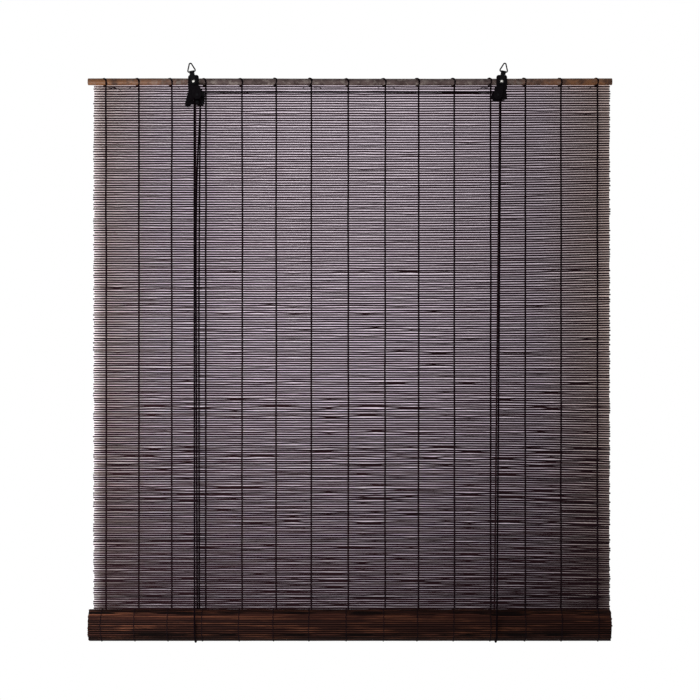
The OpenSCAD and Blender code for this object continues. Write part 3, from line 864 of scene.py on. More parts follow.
def joined(name: str, pieces: list[bpy.types.Object]) -> bpy.types.Object:
    """Joins pieces of one material into one.

    Args:
        name: The joined piece's name.
        pieces: The pieces, which are used up.

    Returns:
        The joined piece.
    """
    points, faces = [], []
    material = pieces[0].data.materials[0]
    for piece in pieces:
        start = len(points)
        points.extend(tuple(v.co) for v in piece.data.vertices)
        faces.extend([start + i for i in p.vertices] for p in piece.data.polygons)
        bpy.data.objects.remove(piece)
    return mesh_piece(name, np.array(points), faces, material)


def centre(node: str) -> Vector:
    """The middle of a solid's box."""
    low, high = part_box(node)
    return (low + high) / 2


def column_places(node: bpy.types.Object) -> list[float]:
    """Where the warp columns stand along the mat.

    Args:
        node: The solid of some warp threads, with separate columns.

    Returns:
        The middle of each column along X, from left to right.
    """
    spacing = 20 * MM
    groups: list[list[float]] = []
    for x in sorted(v.co.x for v in node.data.vertices):
        if groups and x - groups[-1][-1] < spacing:
            groups[-1].append(x)
        else:
            groups.append([x])
    return [(g[0] + g[-1]) / 2 for g in groups]


@dataclass
class SlatSet:
    """How a row of slats is cut: their size, their unevenness and their seeds."""

    height: float = 2.62 * MM
    thickness: float = 2.2 * MM
    sides: int = 8
    segments: int = 44
    bow: float = 0.7 * MM
    bow_length: float = 75 * MM
    swell: float = 0.11
    end_taper: float = 0.85
    taper_run: float = 7 * MM
    end_play: float = 1.3 * MM
    held_slack: float = 0.45
    plain_bend: float = 0.7
    crooked_bend: float = 1.6
    crooked_power: float = 3.0
    lift_gain: float = 4.0
    shift_gain: float = 1.6
    wander_step: float = 3.7
    sway_step: float = 5.3
    sway_start: float = 90.0
    sway_pace: float = 0.6
    swell_step: float = 2.9
    swell_start: float = 40.0
    swell_pace: float = 2.0
    seed: int = 11

    def uneven(self, recipe: Recipe, x: bpy.types.NodeSocket, row: object, pace: float,
               **detail: float) -> bpy.types.NodeSocket:
        """Noise along a slat that differs from row to row, about zero.

        Args:
            recipe: The tree that uses it.
            x: Place along the slat.
            row: The row's own place in the noise.
            pace: How fast it changes along the slat, as a share of the bow's pace.
            **detail: Other inputs of the noise.

        Returns:
            The noise, from about -0.5 to 0.5.
        """
        where = recipe.vector(recipe.product(x, pace / self.bow_length))
        value = recipe.noise({"Vector": where, "W": row, "Scale": 1.0, **detail}, "4D")
        return recipe.math("SUBTRACT", value, 0.5)

    def bars(self, recipe: Recipe, points: bpy.types.NodeSocket, length: float, tilt: object,
             column_pitch: float, fuller: object = 1.0, looser: object = 1.0) -> bpy.types.NodeSocket:
        """Lays an uneven slat along X on each point.

        Args:
            recipe: The tree that the slats are built in.
            points: Where the slats' middles go.
            length: The slats' length.
            tilt: The turn of each slat about its length.
            column_pitch: Spacing of the threads that hold the slats still.
            fuller: How much thicker than usual each slat is.
            looser: How much more than usual each slat bends.

        Returns:
            The slats as a mesh.
        """
        span = recipe.size("Slat Length", length)
        height = recipe.size("Slat Height", self.height)
        thick = recipe.size("Slat Thickness", self.thickness)
        bow = recipe.size("Bow", self.bow)
        count = recipe.size("Segments", self.segments + 1, "NodeSocketInt")
        half = recipe.product(span, 0.5)
        line = recipe.straight(recipe.vector(recipe.product(half, -1.0)), recipe.vector(half), count)
        slide = recipe.chance(-self.end_play, self.end_play, self.seed)
        index = recipe.index()
        copies = recipe.copies(points, line)
        copies = recipe.store(copies, "tone", recipe.chance(0.0, 1.0, self.seed + 1), "INSTANCE")
        copies = recipe.store(copies, "row", index, "INSTANCE")
        copies = recipe.store(copies, "slide", slide, "INSTANCE")
        crooked = recipe.math("POWER", recipe.chance(0.0, 1.0, self.seed + 2), self.crooked_power)
        copies = recipe.store(copies, "crooked", crooked, "INSTANCE")
        copies = recipe.store(copies, "tilt_by", tilt, "INSTANCE")
        curves = recipe.realized(copies)
        axes = recipe.axes()
        row = recipe.recall("row")
        wander = self.uneven(recipe, axes["X"], recipe.product(row, self.wander_step), 1.0, Detail=2.0,
                             Roughness=0.55)
        sway_row = recipe.total(recipe.product(row, self.sway_step), self.sway_start)
        sway = self.uneven(recipe, axes["X"], sway_row, self.sway_pace, Detail=1.0)
        free = recipe.math("ABSOLUTE", recipe.math("SINE", recipe.product(axes["X"], math.pi / column_pitch)))
        slack = recipe.total(recipe.product(free, 1.0 - self.held_slack), self.held_slack)
        bend = recipe.total(self.plain_bend, recipe.product(recipe.recall("crooked"), self.crooked_bend))
        lift = recipe.product(wander, self.lift_gain, slack, bend, bow, looser)
        shift = recipe.product(sway, self.shift_gain, bow)
        turn = recipe.recall("tilt_by")
        up, out = recipe.math("COSINE", turn), recipe.math("SINE", turn)
        moved = recipe.vector(
            recipe.total(axes["X"], recipe.recall("slide")),
            recipe.total(axes["Y"], recipe.product(shift, up), recipe.product(lift, out)),
            recipe.total(axes["Z"], recipe.product(lift, up)))
        curves = recipe.place(curves, moved)
        swell_row = recipe.total(recipe.product(row, self.swell_step), self.swell_start)
        swell = self.uneven(recipe, axes["X"], swell_row, self.swell_pace, Detail=2.0)
        girth = recipe.total(1.0, recipe.product(swell, 2 * self.swell))
        along = recipe.along()
        nearer = recipe.math("MINIMUM", along, recipe.math("SUBTRACT", 1.0, along))
        taper = recipe.spread(recipe.product(nearer, span), 0.0, self.taper_run, self.end_taper, 1.0)
        girth = recipe.product(girth, fuller, taper)
        curves = recipe.add("GeometryNodeSetCurveNormal", {"Curve": curves}, mode="Z_UP").outputs[0]
        curves = recipe.add("GeometryNodeSetCurveTilt", {"Curve": curves, "Tilt": turn}).outputs[0]
        across, upright = recipe.product(thick, 0.5), recipe.product(height, 0.5)
        return recipe.swept(curves, across, upright, self.sides, girth)


@dataclass
class HangingMat:
    """The slats between the headrail and the roll, and the strands that hold them."""

    columns: list[float]
    travel: float
    slat_pitch: float = 3.95 * MM
    crowd: float = 0.055
    jitter: float = 0.15 * MM
    jitter_seed: int = 5
    fuller_low: float = 0.24
    fuller_power: float = 0.7
    looser_low: float = 0.35
    looser_from: float = 0.2
    butt: float = 0.08
    fan_lift: float = 4.2 * MM
    fan_from: float = 80 * MM
    roll_clear: float = 13 * MM
    head_gap: float = 0.15 * MM
    strand_d: float = 1.75 * MM
    strand_sides: int = 5
    strand_steps: int = 3
    strand_hug: float = 0.42
    strand_apart: float = 0.4
    waver: float = 2.4 * MM
    waver_across: float = 30.0
    waver_down: float = 6.0
    column_pitch: float = 60.4 * MM
    slats: SlatSet = field(default_factory=SlatSet)

    def __post_init__(self) -> None:
        """Reads the mat's place from the frame."""
        low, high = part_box("hanging_mat")
        self.top, self.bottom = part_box("headrail")[0].z - self.head_gap, low.z
        self.middle, self.plane = (low.x + high.x) / 2, (low.y + high.y) / 2
        self.width, self.end = high.x - low.x, high.x
        self.count = round((self.top - self.bottom) / self.slat_pitch)

    def height_at(self, recipe: Recipe, share: bpy.types.NodeSocket) -> bpy.types.NodeSocket:
        """Height at a share of the way down, with the slats closer together lower down.

        Args:
            recipe: The tree that uses it.
            share: The share of the slats above, from 0 to 1.

        Returns:
            The height's socket.
        """
        crowd = recipe.product(share, recipe.math("SUBTRACT", 1.0, share), self.crowd)
        return recipe.total(self.top, recipe.product(recipe.total(share, crowd), self.bottom - self.top))

    def fan(self, recipe: Recipe, x: bpy.types.NodeSocket,
            share: bpy.types.NodeSocket) -> bpy.types.NodeSocket:
        """How far the right-hand side is stretched up near the top and down near the roll.

        Args:
            recipe: The tree that uses it.
            x: Place along the mat.
            share: The share of the slats above, from 0 to 1.

        Returns:
            The change of height's socket.
        """
        side = recipe.spread(x, self.fan_from, self.end)
        swing = recipe.math("SINE", recipe.product(share, 2 * math.pi))
        return recipe.product(side, side, swing, self.fan_lift)

    def build_slats(self, material: bpy.types.Material) -> bpy.types.Object:
        """Lays the slats, each a little out of line, and fuller and looser lower down."""
        recipe = Recipe("hanging_slats")
        count = recipe.size("Slats", self.count, "NodeSocketInt")
        index = recipe.index()
        share = recipe.math("DIVIDE", recipe.total(index, 0.5), count)
        stray = recipe.chance(-self.jitter, self.jitter, self.jitter_seed)
        z = recipe.total(self.height_at(recipe, share), stray)
        place = recipe.vector(self.middle, self.plane, z)
        points = recipe.points(count, place)
        row = recipe.math("DIVIDE", recipe.recall("row"), count)
        lower = recipe.math("POWER", row, self.fuller_power)
        axes = recipe.axes()
        butt = recipe.spread(axes["X"], 0.0, self.end, 0.0, self.butt)
        fuller = recipe.total(1.0, recipe.product(lower, self.fuller_low), butt)
        looser = recipe.spread(row, self.looser_from, 1.0, 1.0, 1.0 + self.looser_low)
        bars = self.slats.bars(recipe, points, self.width, 0.0, self.column_pitch, fuller, looser)
        z = recipe.total(axes["Z"], self.fan(recipe, axes["X"], row))
        fanned = recipe.place(bars, recipe.vector(axes["X"], axes["Y"], z))
        return recipe.bake("hanging_slats", fanned, material)

    def build_strand(self, name: str, side: float, material: bpy.types.Material) -> bpy.types.Object:
        """Winds one strand of every column, in front of one slat and behind the next.

        Args:
            name: The piece's name.
            side: 1 for the strand that starts in front, -1 for the other.
            material: The thread's material.

        Returns:
            The strands as one piece.
        """
        recipe = Recipe(name)
        carrier = recipe.inlet.outputs["Geometry"]
        reach = recipe.size("Reach", self.slats.thickness / 2 + self.strand_hug * self.strand_d)
        line = recipe.straight(*STRAND_LINE, self.strand_steps * self.count + 1)
        curves = recipe.realized(recipe.copies(carrier, line))
        share = recipe.along()
        x = recipe.axes()["X"]
        across, down = recipe.product(x, self.waver_across), recipe.product(share, self.waver_down)
        drift = recipe.noise({"Vector": recipe.vector(across, 0.0, down), "Scale": 1.0, "Detail": 2.0})
        weave = recipe.math("SINE", recipe.product(share, math.pi * self.count))
        waver = recipe.product(recipe.math("SUBTRACT", drift, 0.5), self.waver)
        moved = recipe.vector(recipe.total(x, waver, side * self.strand_apart * self.strand_d),
                              recipe.total(self.plane, recipe.product(weave, reach, -side)),
                              recipe.total(self.height_at(recipe, share), self.fan(recipe, x, share)))
        curves = recipe.place(curves, moved)
        girth = recipe.size("Strand Radius", self.strand_d / 2)
        tubes = recipe.swept(curves, girth, girth, self.strand_sides)
        return recipe.bake(name, tubes, material, [(x, 0.0, 0.0) for x in self.columns])

    def dress(self, wardrobe: Wardrobe) -> None:
        """Builds the slats and the two sets of strands, and gives each its own mesh."""
        palette = wardrobe.palette
        slats = wardrobe.hang(self.build_slats(palette.slat), Body.FRAME, "hanging_mat")
        first = self.build_strand("warp_strands_a", 1.0, palette.thread)
        second = self.build_strand("warp_strands_b", -1.0, palette.thread)
        wardrobe.hang(first, Body.FRAME, "warp_threads")
        wardrobe.hang(second, Body.FRAME, "warp_threads")
        for piece in (slats, first, second):
            wardrobe.gather(piece, self.top, self.bottom, self.travel + self.roll_clear)


@dataclass
class MatRoll:
    """The wound end of the mat: slats round its outer turn, slat ends, and threads."""

    columns: list[float]
    turn_pitch: float = 3.1 * MM
    slat_pitch: float = 3.95 * MM
    bare_share: float = 0.84
    strand_d: float = 1.5 * MM
    strand_sides: int = 5
    strand_steps: int = 3
    strand_hug: float = 0.42
    strand_apart: float = 0.2
    waver: float = 2.6 * MM
    waver_across: float = 25.0
    waver_round: float = 4.0
    column_pitch: float = 60.4 * MM
    proud: float = 0.15 * MM
    core_room: float = 0.4 * MM
    stub: float = 9 * MM
    stub_inset: float = 0.2 * MM
    slats: SlatSet = field(default_factory=lambda: SlatSet(height=3.2 * MM, bow=0.4 * MM, end_taper=1.0,
                                                           seed=31))
    cut_slats: SlatSet = field(default_factory=lambda: SlatSet(height=3.6 * MM, thickness=2.3 * MM,
                                                               segments=1, bow=0.0, swell=0.05,
                                                               end_taper=1.0, end_play=1.2 * MM, seed=57))

    def __post_init__(self) -> None:
        """Reads the roll's axis and reach from the frame."""
        axis = centre("bottom_batten")
        low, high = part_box("mat_roll")
        self.y, self.z = axis.y, axis.z
        self.middle = (low.x + high.x) / 2
        self.width = high.x - low.x
        self.radius = high.y - self.y - self.slats.thickness / 2 + self.proud
        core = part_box("bottom_batten")[1].z - self.z
        self.core = core + self.slats.thickness / 2 + self.core_room
        arc = math.pi * (self.radius ** 2 - self.core ** 2) / self.turn_pitch
        self.count = int(arc / self.slat_pitch)
        first_turn = 2 * math.pi * self.radius - math.pi * self.turn_pitch
        self.outer_count = round(first_turn / self.slat_pitch)

    def angle_at(self, recipe: Recipe, number: bpy.types.NodeSocket) -> bpy.types.NodeSocket:
        """Angle of a slat from the back of the roll, counted downwards.

        Args:
            recipe: The tree that uses it.
            number: How many slats lie before it on the spiral.

        Returns:
            The angle's socket, in radians.
        """
        taken = recipe.product(number, self.slat_pitch * self.turn_pitch / math.pi)
        root = recipe.math("SQRT", recipe.math("SUBTRACT", self.radius ** 2, taken))
        return recipe.product(recipe.math("SUBTRACT", self.radius, root), 2 * math.pi / self.turn_pitch)

    def spiral(self, recipe: Recipe, angle: bpy.types.NodeSocket, x: object,
               out: object = 0.0) -> bpy.types.NodeSocket:
        """A point on the spiral.

        Args:
            recipe: The tree that uses it.
            angle: Its angle from the back, counted downwards.
            x: Its place along the roll.
            out: How far it lies outside the middle of the slats.

        Returns:
            The position's socket.
        """
        radius = recipe.total(self.radius, recipe.product(angle, -self.turn_pitch / (2 * math.pi)), out)
        y = recipe.total(self.y, recipe.product(radius, recipe.math("COSINE", angle)))
        z = recipe.total(self.z, recipe.product(radius, recipe.math("SINE", angle), -1.0))
        return recipe.vector(x, y, z)

    def build_slats(self, material: bpy.types.Material) -> bpy.types.Object:
        """Lays full slats round the outer turn."""
        recipe = Recipe("roll_slats")
        count = recipe.size("Slats", self.outer_count, "NodeSocketInt")
        index = recipe.index()
        angle = self.angle_at(recipe, recipe.total(index, 0.5))
        place = self.spiral(recipe, angle, self.middle)
        points = recipe.points(count, place)
        tilt = recipe.product(angle, -1.0)
        bars = self.slats.bars(recipe, points, self.width, tilt, self.column_pitch)
        return recipe.bake("roll_slats", bars, material)

    def build_ends(self, material: bpy.types.Material) -> bpy.types.Object:
        """Sets short slat ends along the inner turns, at both ends of the roll."""
        recipe = Recipe("roll_slat_ends")
        count = recipe.size("Inner Slats", self.count - self.outer_count, "NodeSocketInt")
        index = recipe.index()
        number = recipe.total(index, self.outer_count + 0.5)
        angle = self.angle_at(recipe, number)
        place = self.spiral(recipe, angle, self.middle)
        points = recipe.points(count, place)
        tilt = recipe.product(angle, -1.0)
        stubs = self.cut_slats.bars(recipe, points, self.stub, tilt, self.column_pitch)
        inset = (self.width - self.stub) / 2 - self.stub_inset
        both = recipe.add("GeometryNodeJoinGeometry").inputs[0]
        for side in (-1.0, 1.0):
            feeds = {"Geometry": stubs, "Translation": (side * inset, 0.0, 0.0)}
            recipe.feed(both, recipe.add("GeometryNodeTransform", feeds).outputs[0])
        return recipe.bake("roll_slat_ends", both.node.outputs[0], material)

    def build_strands(self, material: bpy.types.Material) -> bpy.types.Object:
        """Winds the two strands of each column over and under the outer slats."""
        recipe = Recipe("roll_strands")
        wrapped = int(self.outer_count * self.bare_share)
        carrier = recipe.inlet.outputs["Geometry"]
        line = recipe.straight(*STRAND_LINE, self.strand_steps * wrapped + 1)
        copies = recipe.copies(carrier, line)
        parity = recipe.math("MODULO", recipe.index(), 2.0)
        side = recipe.math("SUBTRACT", recipe.product(parity, 2.0), 1.0)
        copies = recipe.store(copies, "side", side, "INSTANCE")
        curves = recipe.realized(copies)
        share = recipe.along()
        x = recipe.axes()["X"]
        where = recipe.vector(recipe.product(x, self.waver_across), recipe.product(share, self.waver_round))
        drift = recipe.noise({"Vector": where, "Scale": 1.0, "Detail": 2.0})
        waver = recipe.product(recipe.math("SUBTRACT", drift, 0.5), self.waver)
        apart = recipe.product(recipe.recall("side"), self.strand_apart * self.strand_d)
        moved_x = recipe.total(x, waver, apart)
        angle = self.angle_at(recipe, recipe.product(share, float(wrapped)))
        reach = self.slats.thickness / 2 + self.strand_hug * self.strand_d
        weave = recipe.product(recipe.math("SINE", recipe.product(share, math.pi * wrapped)),
                               recipe.recall("side"), reach)
        curves = recipe.place(curves, self.spiral(recipe, angle, moved_x, weave))
        girth = recipe.size("Strand Radius", self.strand_d / 2)
        tubes = recipe.swept(curves, girth, girth, self.strand_sides)
        points = [(x, 0.0, 0.0) for x in self.columns for _ in range(2)]
        return recipe.bake("roll_strands", tubes, material, points)

    def dress(self, wardrobe: Wardrobe) -> None:
        """Builds the outer slats, the slat ends and the strands on the roll."""
        palette = wardrobe.palette
        wardrobe.hang(self.build_slats(palette.wound), Body.ROLL)
        wardrobe.hang(self.build_ends(palette.wound), Body.ROLL)
        wardrobe.hang(self.build_strands(palette.thread), Body.ROLL, "roll_threads")


@dataclass
class Headrail:
    """The stained pole, the thread that binds each column to it, and loose thread ends."""

    columns: list[float]
    sides: int = 28
    ring_step: float = 5 * MM
    chamfer: float = 0.9 * MM
    unevenness: float = 0.16 * MM
    bow: float = 0.35 * MM
    bow_waves: float = 1.1
    bow_phase: float = 0.6
    skin: float = 0.1 * MM
    edge_share: float = 0.3
    edge_trim: tuple = (0.86, 0.95, 1.0)
    ripples: int = 8
    ripple_rate: float = 1.7
    ripple_fade: float = 0.6
    thread_d: float = 1.3 * MM
    coil_turns: float = 2.8
    coil_start: float = math.radians(140)
    coil_width: float = 2.5
    coil_hug: float = 0.4
    coil_roll: float = 0.5
    coil_lean: float = 0.06
    knot_size: float = 1.15 * MM
    knot_drop: float = 0.7 * MM
    knot_front: float = 0.55
    tail_d: float = 0.7
    tails: tuple = ((0, 18), (0, 26), (1, -20), (2, 14), (6, -16), (6, 22), (8, 20), (8, -12), (11, -24),
                    (13, 15), (13, -18), (14, -14))
    seed: int = 7

    def __post_init__(self) -> None:
        """Reads the pole's place from the frame."""
        low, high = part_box("headrail")
        self.start, self.end = low.x, high.x
        self.y, self.z = (low.y + high.y) / 2, (low.z + high.z) / 2
        self.radius = (high.z - low.z) / 2

    def build_pole(self, material: bpy.types.Material) -> bpy.types.Object:
        """Turns a slightly uneven and bowed pole with worn ends."""
        rng = np.random.default_rng(self.seed)
        count = int((self.end - self.start) / self.ring_step)
        inner = np.linspace(self.start + self.chamfer, self.end - self.chamfer, count)
        edge = self.edge_share * self.chamfer
        x = np.concatenate([[self.start, self.start + edge], inner, [self.end - edge, self.end]])
        share = (x - self.start) / (self.end - self.start)
        trim = np.interp(np.minimum(x - self.start, self.end - x), [0.0, edge, self.chamfer], self.edge_trim)
        angle = np.linspace(0.0, 2 * math.pi, self.sides, endpoint=False)
        uneven = np.zeros((len(x), self.sides))
        for wave in range(1, self.ripples + 1):
            lean, phase, turn = rng.uniform(0.3, 1.0), rng.uniform(0, 2 * math.pi), rng.integers(0, 3)
            run = 2 * math.pi * self.ripple_rate * wave * share[:, None]
            uneven += lean / wave ** self.ripple_fade * np.cos(run + phase + turn * angle[None, :])
        uneven *= self.unevenness / np.abs(uneven).max()
        radius = (self.radius - self.skin + uneven) * trim[:, None]
        bend = self.bow * np.sin(2 * math.pi * self.bow_waves * share + self.bow_phase)
        points = np.stack([np.repeat(x[:, None], self.sides, 1), self.y + radius * np.cos(angle)[None, :],
                           self.z + bend[:, None] + radius * np.sin(angle)[None, :]], 2)
        return mesh_piece("headrail_pole", points.reshape(-1, 3), tube_faces(len(x), self.sides), material)

    def build_bindings(self, material: bpy.types.Material) -> bpy.types.Object:
        """Coils thread round the pole at each column."""
        recipe = Recipe("headrail_bindings")
        radius = self.radius + self.coil_hug * self.thread_d
        width = self.coil_width * self.thread_d
        coil = recipe.add("GeometryNodeCurveSpiral", {
            "Resolution": 20, "Rotations": self.coil_turns, "Start Radius": radius, "End Radius": radius,
            "Height": width}).outputs[0]
        coil = recipe.add("GeometryNodeTransform", {
            "Geometry": coil, "Rotation": (self.coil_start, math.radians(90), 0.0),
            "Translation": (-width / 2, 0.0, 0.0)}).outputs[0]
        carrier = recipe.inlet.outputs["Geometry"]
        turn = recipe.vector(recipe.chance(-self.coil_roll, self.coil_roll, 3), 0.0,
                             recipe.chance(-self.coil_lean, self.coil_lean, 4))
        curves = recipe.realized(recipe.copies(carrier, coil, Rotation=turn))
        girth = recipe.size("Thread Radius", self.thread_d / 2)
        tubes = recipe.swept(curves, girth, girth, 6)
        places = [(x, self.y, self.z) for x in self.columns]
        return recipe.bake("headrail_bindings_coils", tubes, material, places)

    def build_ends(self, material: bpy.types.Material) -> bpy.types.Object:
        """Ties a small knot under the pole at each column, with loose ends at some of them."""
        front = self.y - self.knot_front * self.radius
        under = self.z - self.radius - self.knot_drop
        parts = []
        for number, x in enumerate(self.columns):
            knot = trefoil((x, front, under), self.knot_size)
            parts.append(wire("knot", knot, self.thread_d, material, sides=6, closed=True))
            for run in (reach * MM for column, reach in self.tails if column == number):
                route = [(x, front, under), (x + 0.25 * run, front - 1.2 * MM, under - 0.2 * abs(run)),
                         (x + 0.6 * run, front - 1.6 * MM, under - 0.12 * abs(run)),
                         (x + run, front - 0.6 * MM, under - 0.34 * abs(run))]
                path = even_path(route, 1.0 * MM, rounds=3)
                parts.append(wire("tail", path, self.tail_d * self.thread_d, material, sides=5))
        return joined("headrail_thread_ends", parts)

    def dress(self, wardrobe: Wardrobe) -> None:
        """Builds the pole, its bindings and the thread ends."""
        palette = wardrobe.palette
        wardrobe.hang(self.build_pole(palette.pole), Body.FRAME, "headrail")
        wardrobe.hang(self.build_bindings(palette.thread), Body.FRAME, "headrail_bindings")
        wardrobe.hang(self.build_ends(palette.thread), Body.FRAME)


def trefoil(middle: Point, size: float, count: int = 48) -> np.ndarray:
    """The path of a small knot.

    Args:
        middle: The knot's middle.
        size: Half of its width, without the thread.
        count: How many points the path has.

    Returns:
        The closed path's points.
    """
    t = np.linspace(0.0, 2 * math.pi, count, endpoint=False)
    knot = np.stack([np.sin(t) + 2 * np.sin(2 * t), -np.sin(3 * t), np.cos(t) - 2 * np.cos(2 * t)], 1)
    return np.array(middle) + knot * size / 3


@dataclass
class CordSet:
    """The lift cords, their slings and knots, the cross cord and the two pull strands."""

    travel: float
    diameter: float = 2.6 * MM
    bulk: float = 1.15
    wrap: float = 5.1 * MM
    guide_wrap: float = 3.2 * MM
    end_gap: float = 0.1 * MM
    lay_gap: float = 0.1 * MM
    sling_bite: float = 1.2 * MM
    sling_points: int = 49
    knot_size: float = 1.7 * MM
    knot_d: float = 0.55
    sway_length: float = 890 * MM
    lay_steps: int = 4
    arc_step: float = math.radians(15)
    pull_a_sway: tuple = ((0, 0), (-20, 0), (-60, -1.6), (-110, -4.4), (-160, -6.2), (-220, -7), (-280, -7.2),
                          (-340, -7.2), (-400, -7), (-460, -6.8), (-520, -6.6), (-640, -6), (-760, -5.6),
                          (-860, -5.4))
    pull_b_sway: tuple = ((0, 0), (-20, 0), (-60, -0.4), (-160, -1.4), (-280, -2.2), (-400, -2.6),
                          (-520, -2.4), (-640, -2.2), (-760, -2), (-860, -2))

    def __post_init__(self) -> None:
        """Reads the pulleys', the roll's and the eyes' places from the frame."""
        self.left = centre("lock_sheave")
        self.right = centre("pulley_sheave")
        self.guide = centre("guide_roller")
        roll = centre("bottom_batten")
        self.roll_y, self.roll_z = roll.y, roll.z
        low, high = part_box("sling_left")
        self.sling_r = (high.y - low.y - self.diameter) / 2
        self.sling_x = {"left": (low.x + high.x) / 2, "right": centre("sling_right").x}
        self.eye_y = centre("cord_knots").y
        self.back_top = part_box("cord_knots")[0].z - self.end_gap
        self.knot_z = centre("cord_knots").z
        self.top_x = {"left": self.left.x - self.wrap, "right": self.right.x + self.wrap}
        self.twine = Twine(self.diameter * self.bulk)

    def arc(self, x: float, y: float, z: float, radius: float, start: float, end: float) -> list[Point]:
        """Points on an arc in the X-Z plane.

        Args:
            x: Middle of the arc along X.
            y: The arc's plane.
            z: Middle of the arc's height.
            radius: The arc's radius.
            start: First angle from +X towards +Z.
            end: Last angle.

        Returns:
            The points.
        """
        steps = max(2, round(abs(end - start) / self.arc_step))
        angles = [start + (end - start) * i / steps for i in range(steps + 1)]
        return [(x + radius * math.cos(a), y, z + radius * math.sin(a)) for a in angles]

    def pull_route(self, sway: tuple, plane: float, top: float) -> list[Point]:
        """The route of a pull strand, down from the lock and over the roll into the nip.

        Args:
            sway: Points of the strand, as its height below the lock and its drift in millimetres.
            plane: The strand's plane from front to back.
            top: Height where it leaves the lock.

        Returns:
            The route's points.
        """
        strand_x = self.left.x + self.wrap
        lay_r = self.sling_r + self.lay_gap
        nip_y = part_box("pull_cord_a")[1].y - self.diameter / 2
        land = math.asin((plane - self.roll_y) / lay_r)
        nip = math.asin((nip_y - self.roll_y) / lay_r)
        land_z = self.roll_z + lay_r * math.cos(land)
        reach = (top - land_z) / self.sway_length
        hang = [(strand_x + drift * MM, plane, top + reach * drop * MM) for drop, drift in sway]
        angles = [land + (nip - land) * i / self.lay_steps for i in range(self.lay_steps + 1)]
        lie = [(strand_x + sway[-1][1] * MM, self.roll_y + lay_r * math.sin(a),
                self.roll_z + lay_r * math.cos(a)) for a in angles]
        return hang + lie

    def dress_lifts(self, wardrobe: Wardrobe) -> None:
        """Builds the front and back runs of both lift cords and their slings under the roll."""
        cord = wardrobe.palette.cord
        bottom = self.roll_z + self.end_gap
        for side, sheave in (("left", self.left), ("right", self.right)):
            x, low_x = self.top_x[side], self.sling_x[side]
            tops = {"front": (x, sheave.y, sheave.z - self.end_gap), "back": (x, self.eye_y, self.back_top)}
            lows = {"front": self.roll_y - self.sling_r, "back": self.roll_y + self.sling_r}
            for run, top in tops.items():
                name = f"{run}_cord_{side}"
                piece, _ = self.twine.along(f"{name}_twine", [top, (low_x, lows[run], bottom)], cord)
                wardrobe.hang(piece, Body.FRAME, name)
                wardrobe.gather(piece, top[2], bottom, self.travel)
            deep = self.sling_r - self.sling_bite
            under = [(low_x, self.roll_y + self.sling_r * math.cos(a), self.roll_z - deep * math.sin(a))
                     for a in np.linspace(0.0, math.pi, self.sling_points)]
            piece, _ = self.twine.along(f"sling_{side}_twine", under, cord)
            wardrobe.hang(piece, Body.SLINGS, f"sling_{side}")

    def dress_turns(self, wardrobe: Wardrobe) -> None:
        """Builds the cord over the lock's pulley, the cross cord and the knots in the eyes."""
        cord = wardrobe.palette.cord
        over = self.arc(self.left.x, self.left.y, self.left.z, self.wrap, math.pi, 0.0)
        piece, _ = self.twine.along("lock_cord_turn_twine", over, cord)
        wardrobe.hang(piece, Body.FRAME, "lock_cord_turn")
        across = (self.arc(self.right.x, self.right.y, self.right.z, self.wrap, 0.0, math.pi / 2)
                  + self.arc(self.guide.x, self.guide.y, self.guide.z, self.guide_wrap, math.pi / 2, math.pi))
        piece, _ = self.twine.along("cross_cord_twine", across, cord)
        wardrobe.hang(piece, Body.FRAME, "cross_cord")
        paths = [trefoil((x, self.eye_y, self.knot_z), self.knot_size) for x in self.top_x.values()]
        knots = [wire("knot", path, self.knot_d * self.diameter, cord, closed=True) for path in paths]
        wardrobe.hang(joined("lift_cord_knots", knots), Body.FRAME, "cord_knots")

    def dress_pulls(self, wardrobe: Wardrobe) -> None:
        strands = {"pull_cord_a": (self.pull_a_sway, self.left.y, self.left.z),
                   "pull_cord_b": (self.pull_b_sway, self.guide.y, self.guide.z)}
        for node, (sway, plane, top) in strands.items():
            route = self.pull_route(sway, plane, top)
            piece, path = self.twine.along(f"{node}_twine", route, wardrobe.palette.cord, rounds=2)
            wardrobe.hang(piece, Body.FRAME, node)
            wardrobe.gather(piece, top, route[len(sway) - 1][2], self.travel)

    def dress(self, wardrobe: Wardrobe) -> None:
        """Builds every cord."""
        self.dress_pulls(wardrobe)
        self.dress_lifts(wardrobe)
        self.dress_turns(wardrobe)


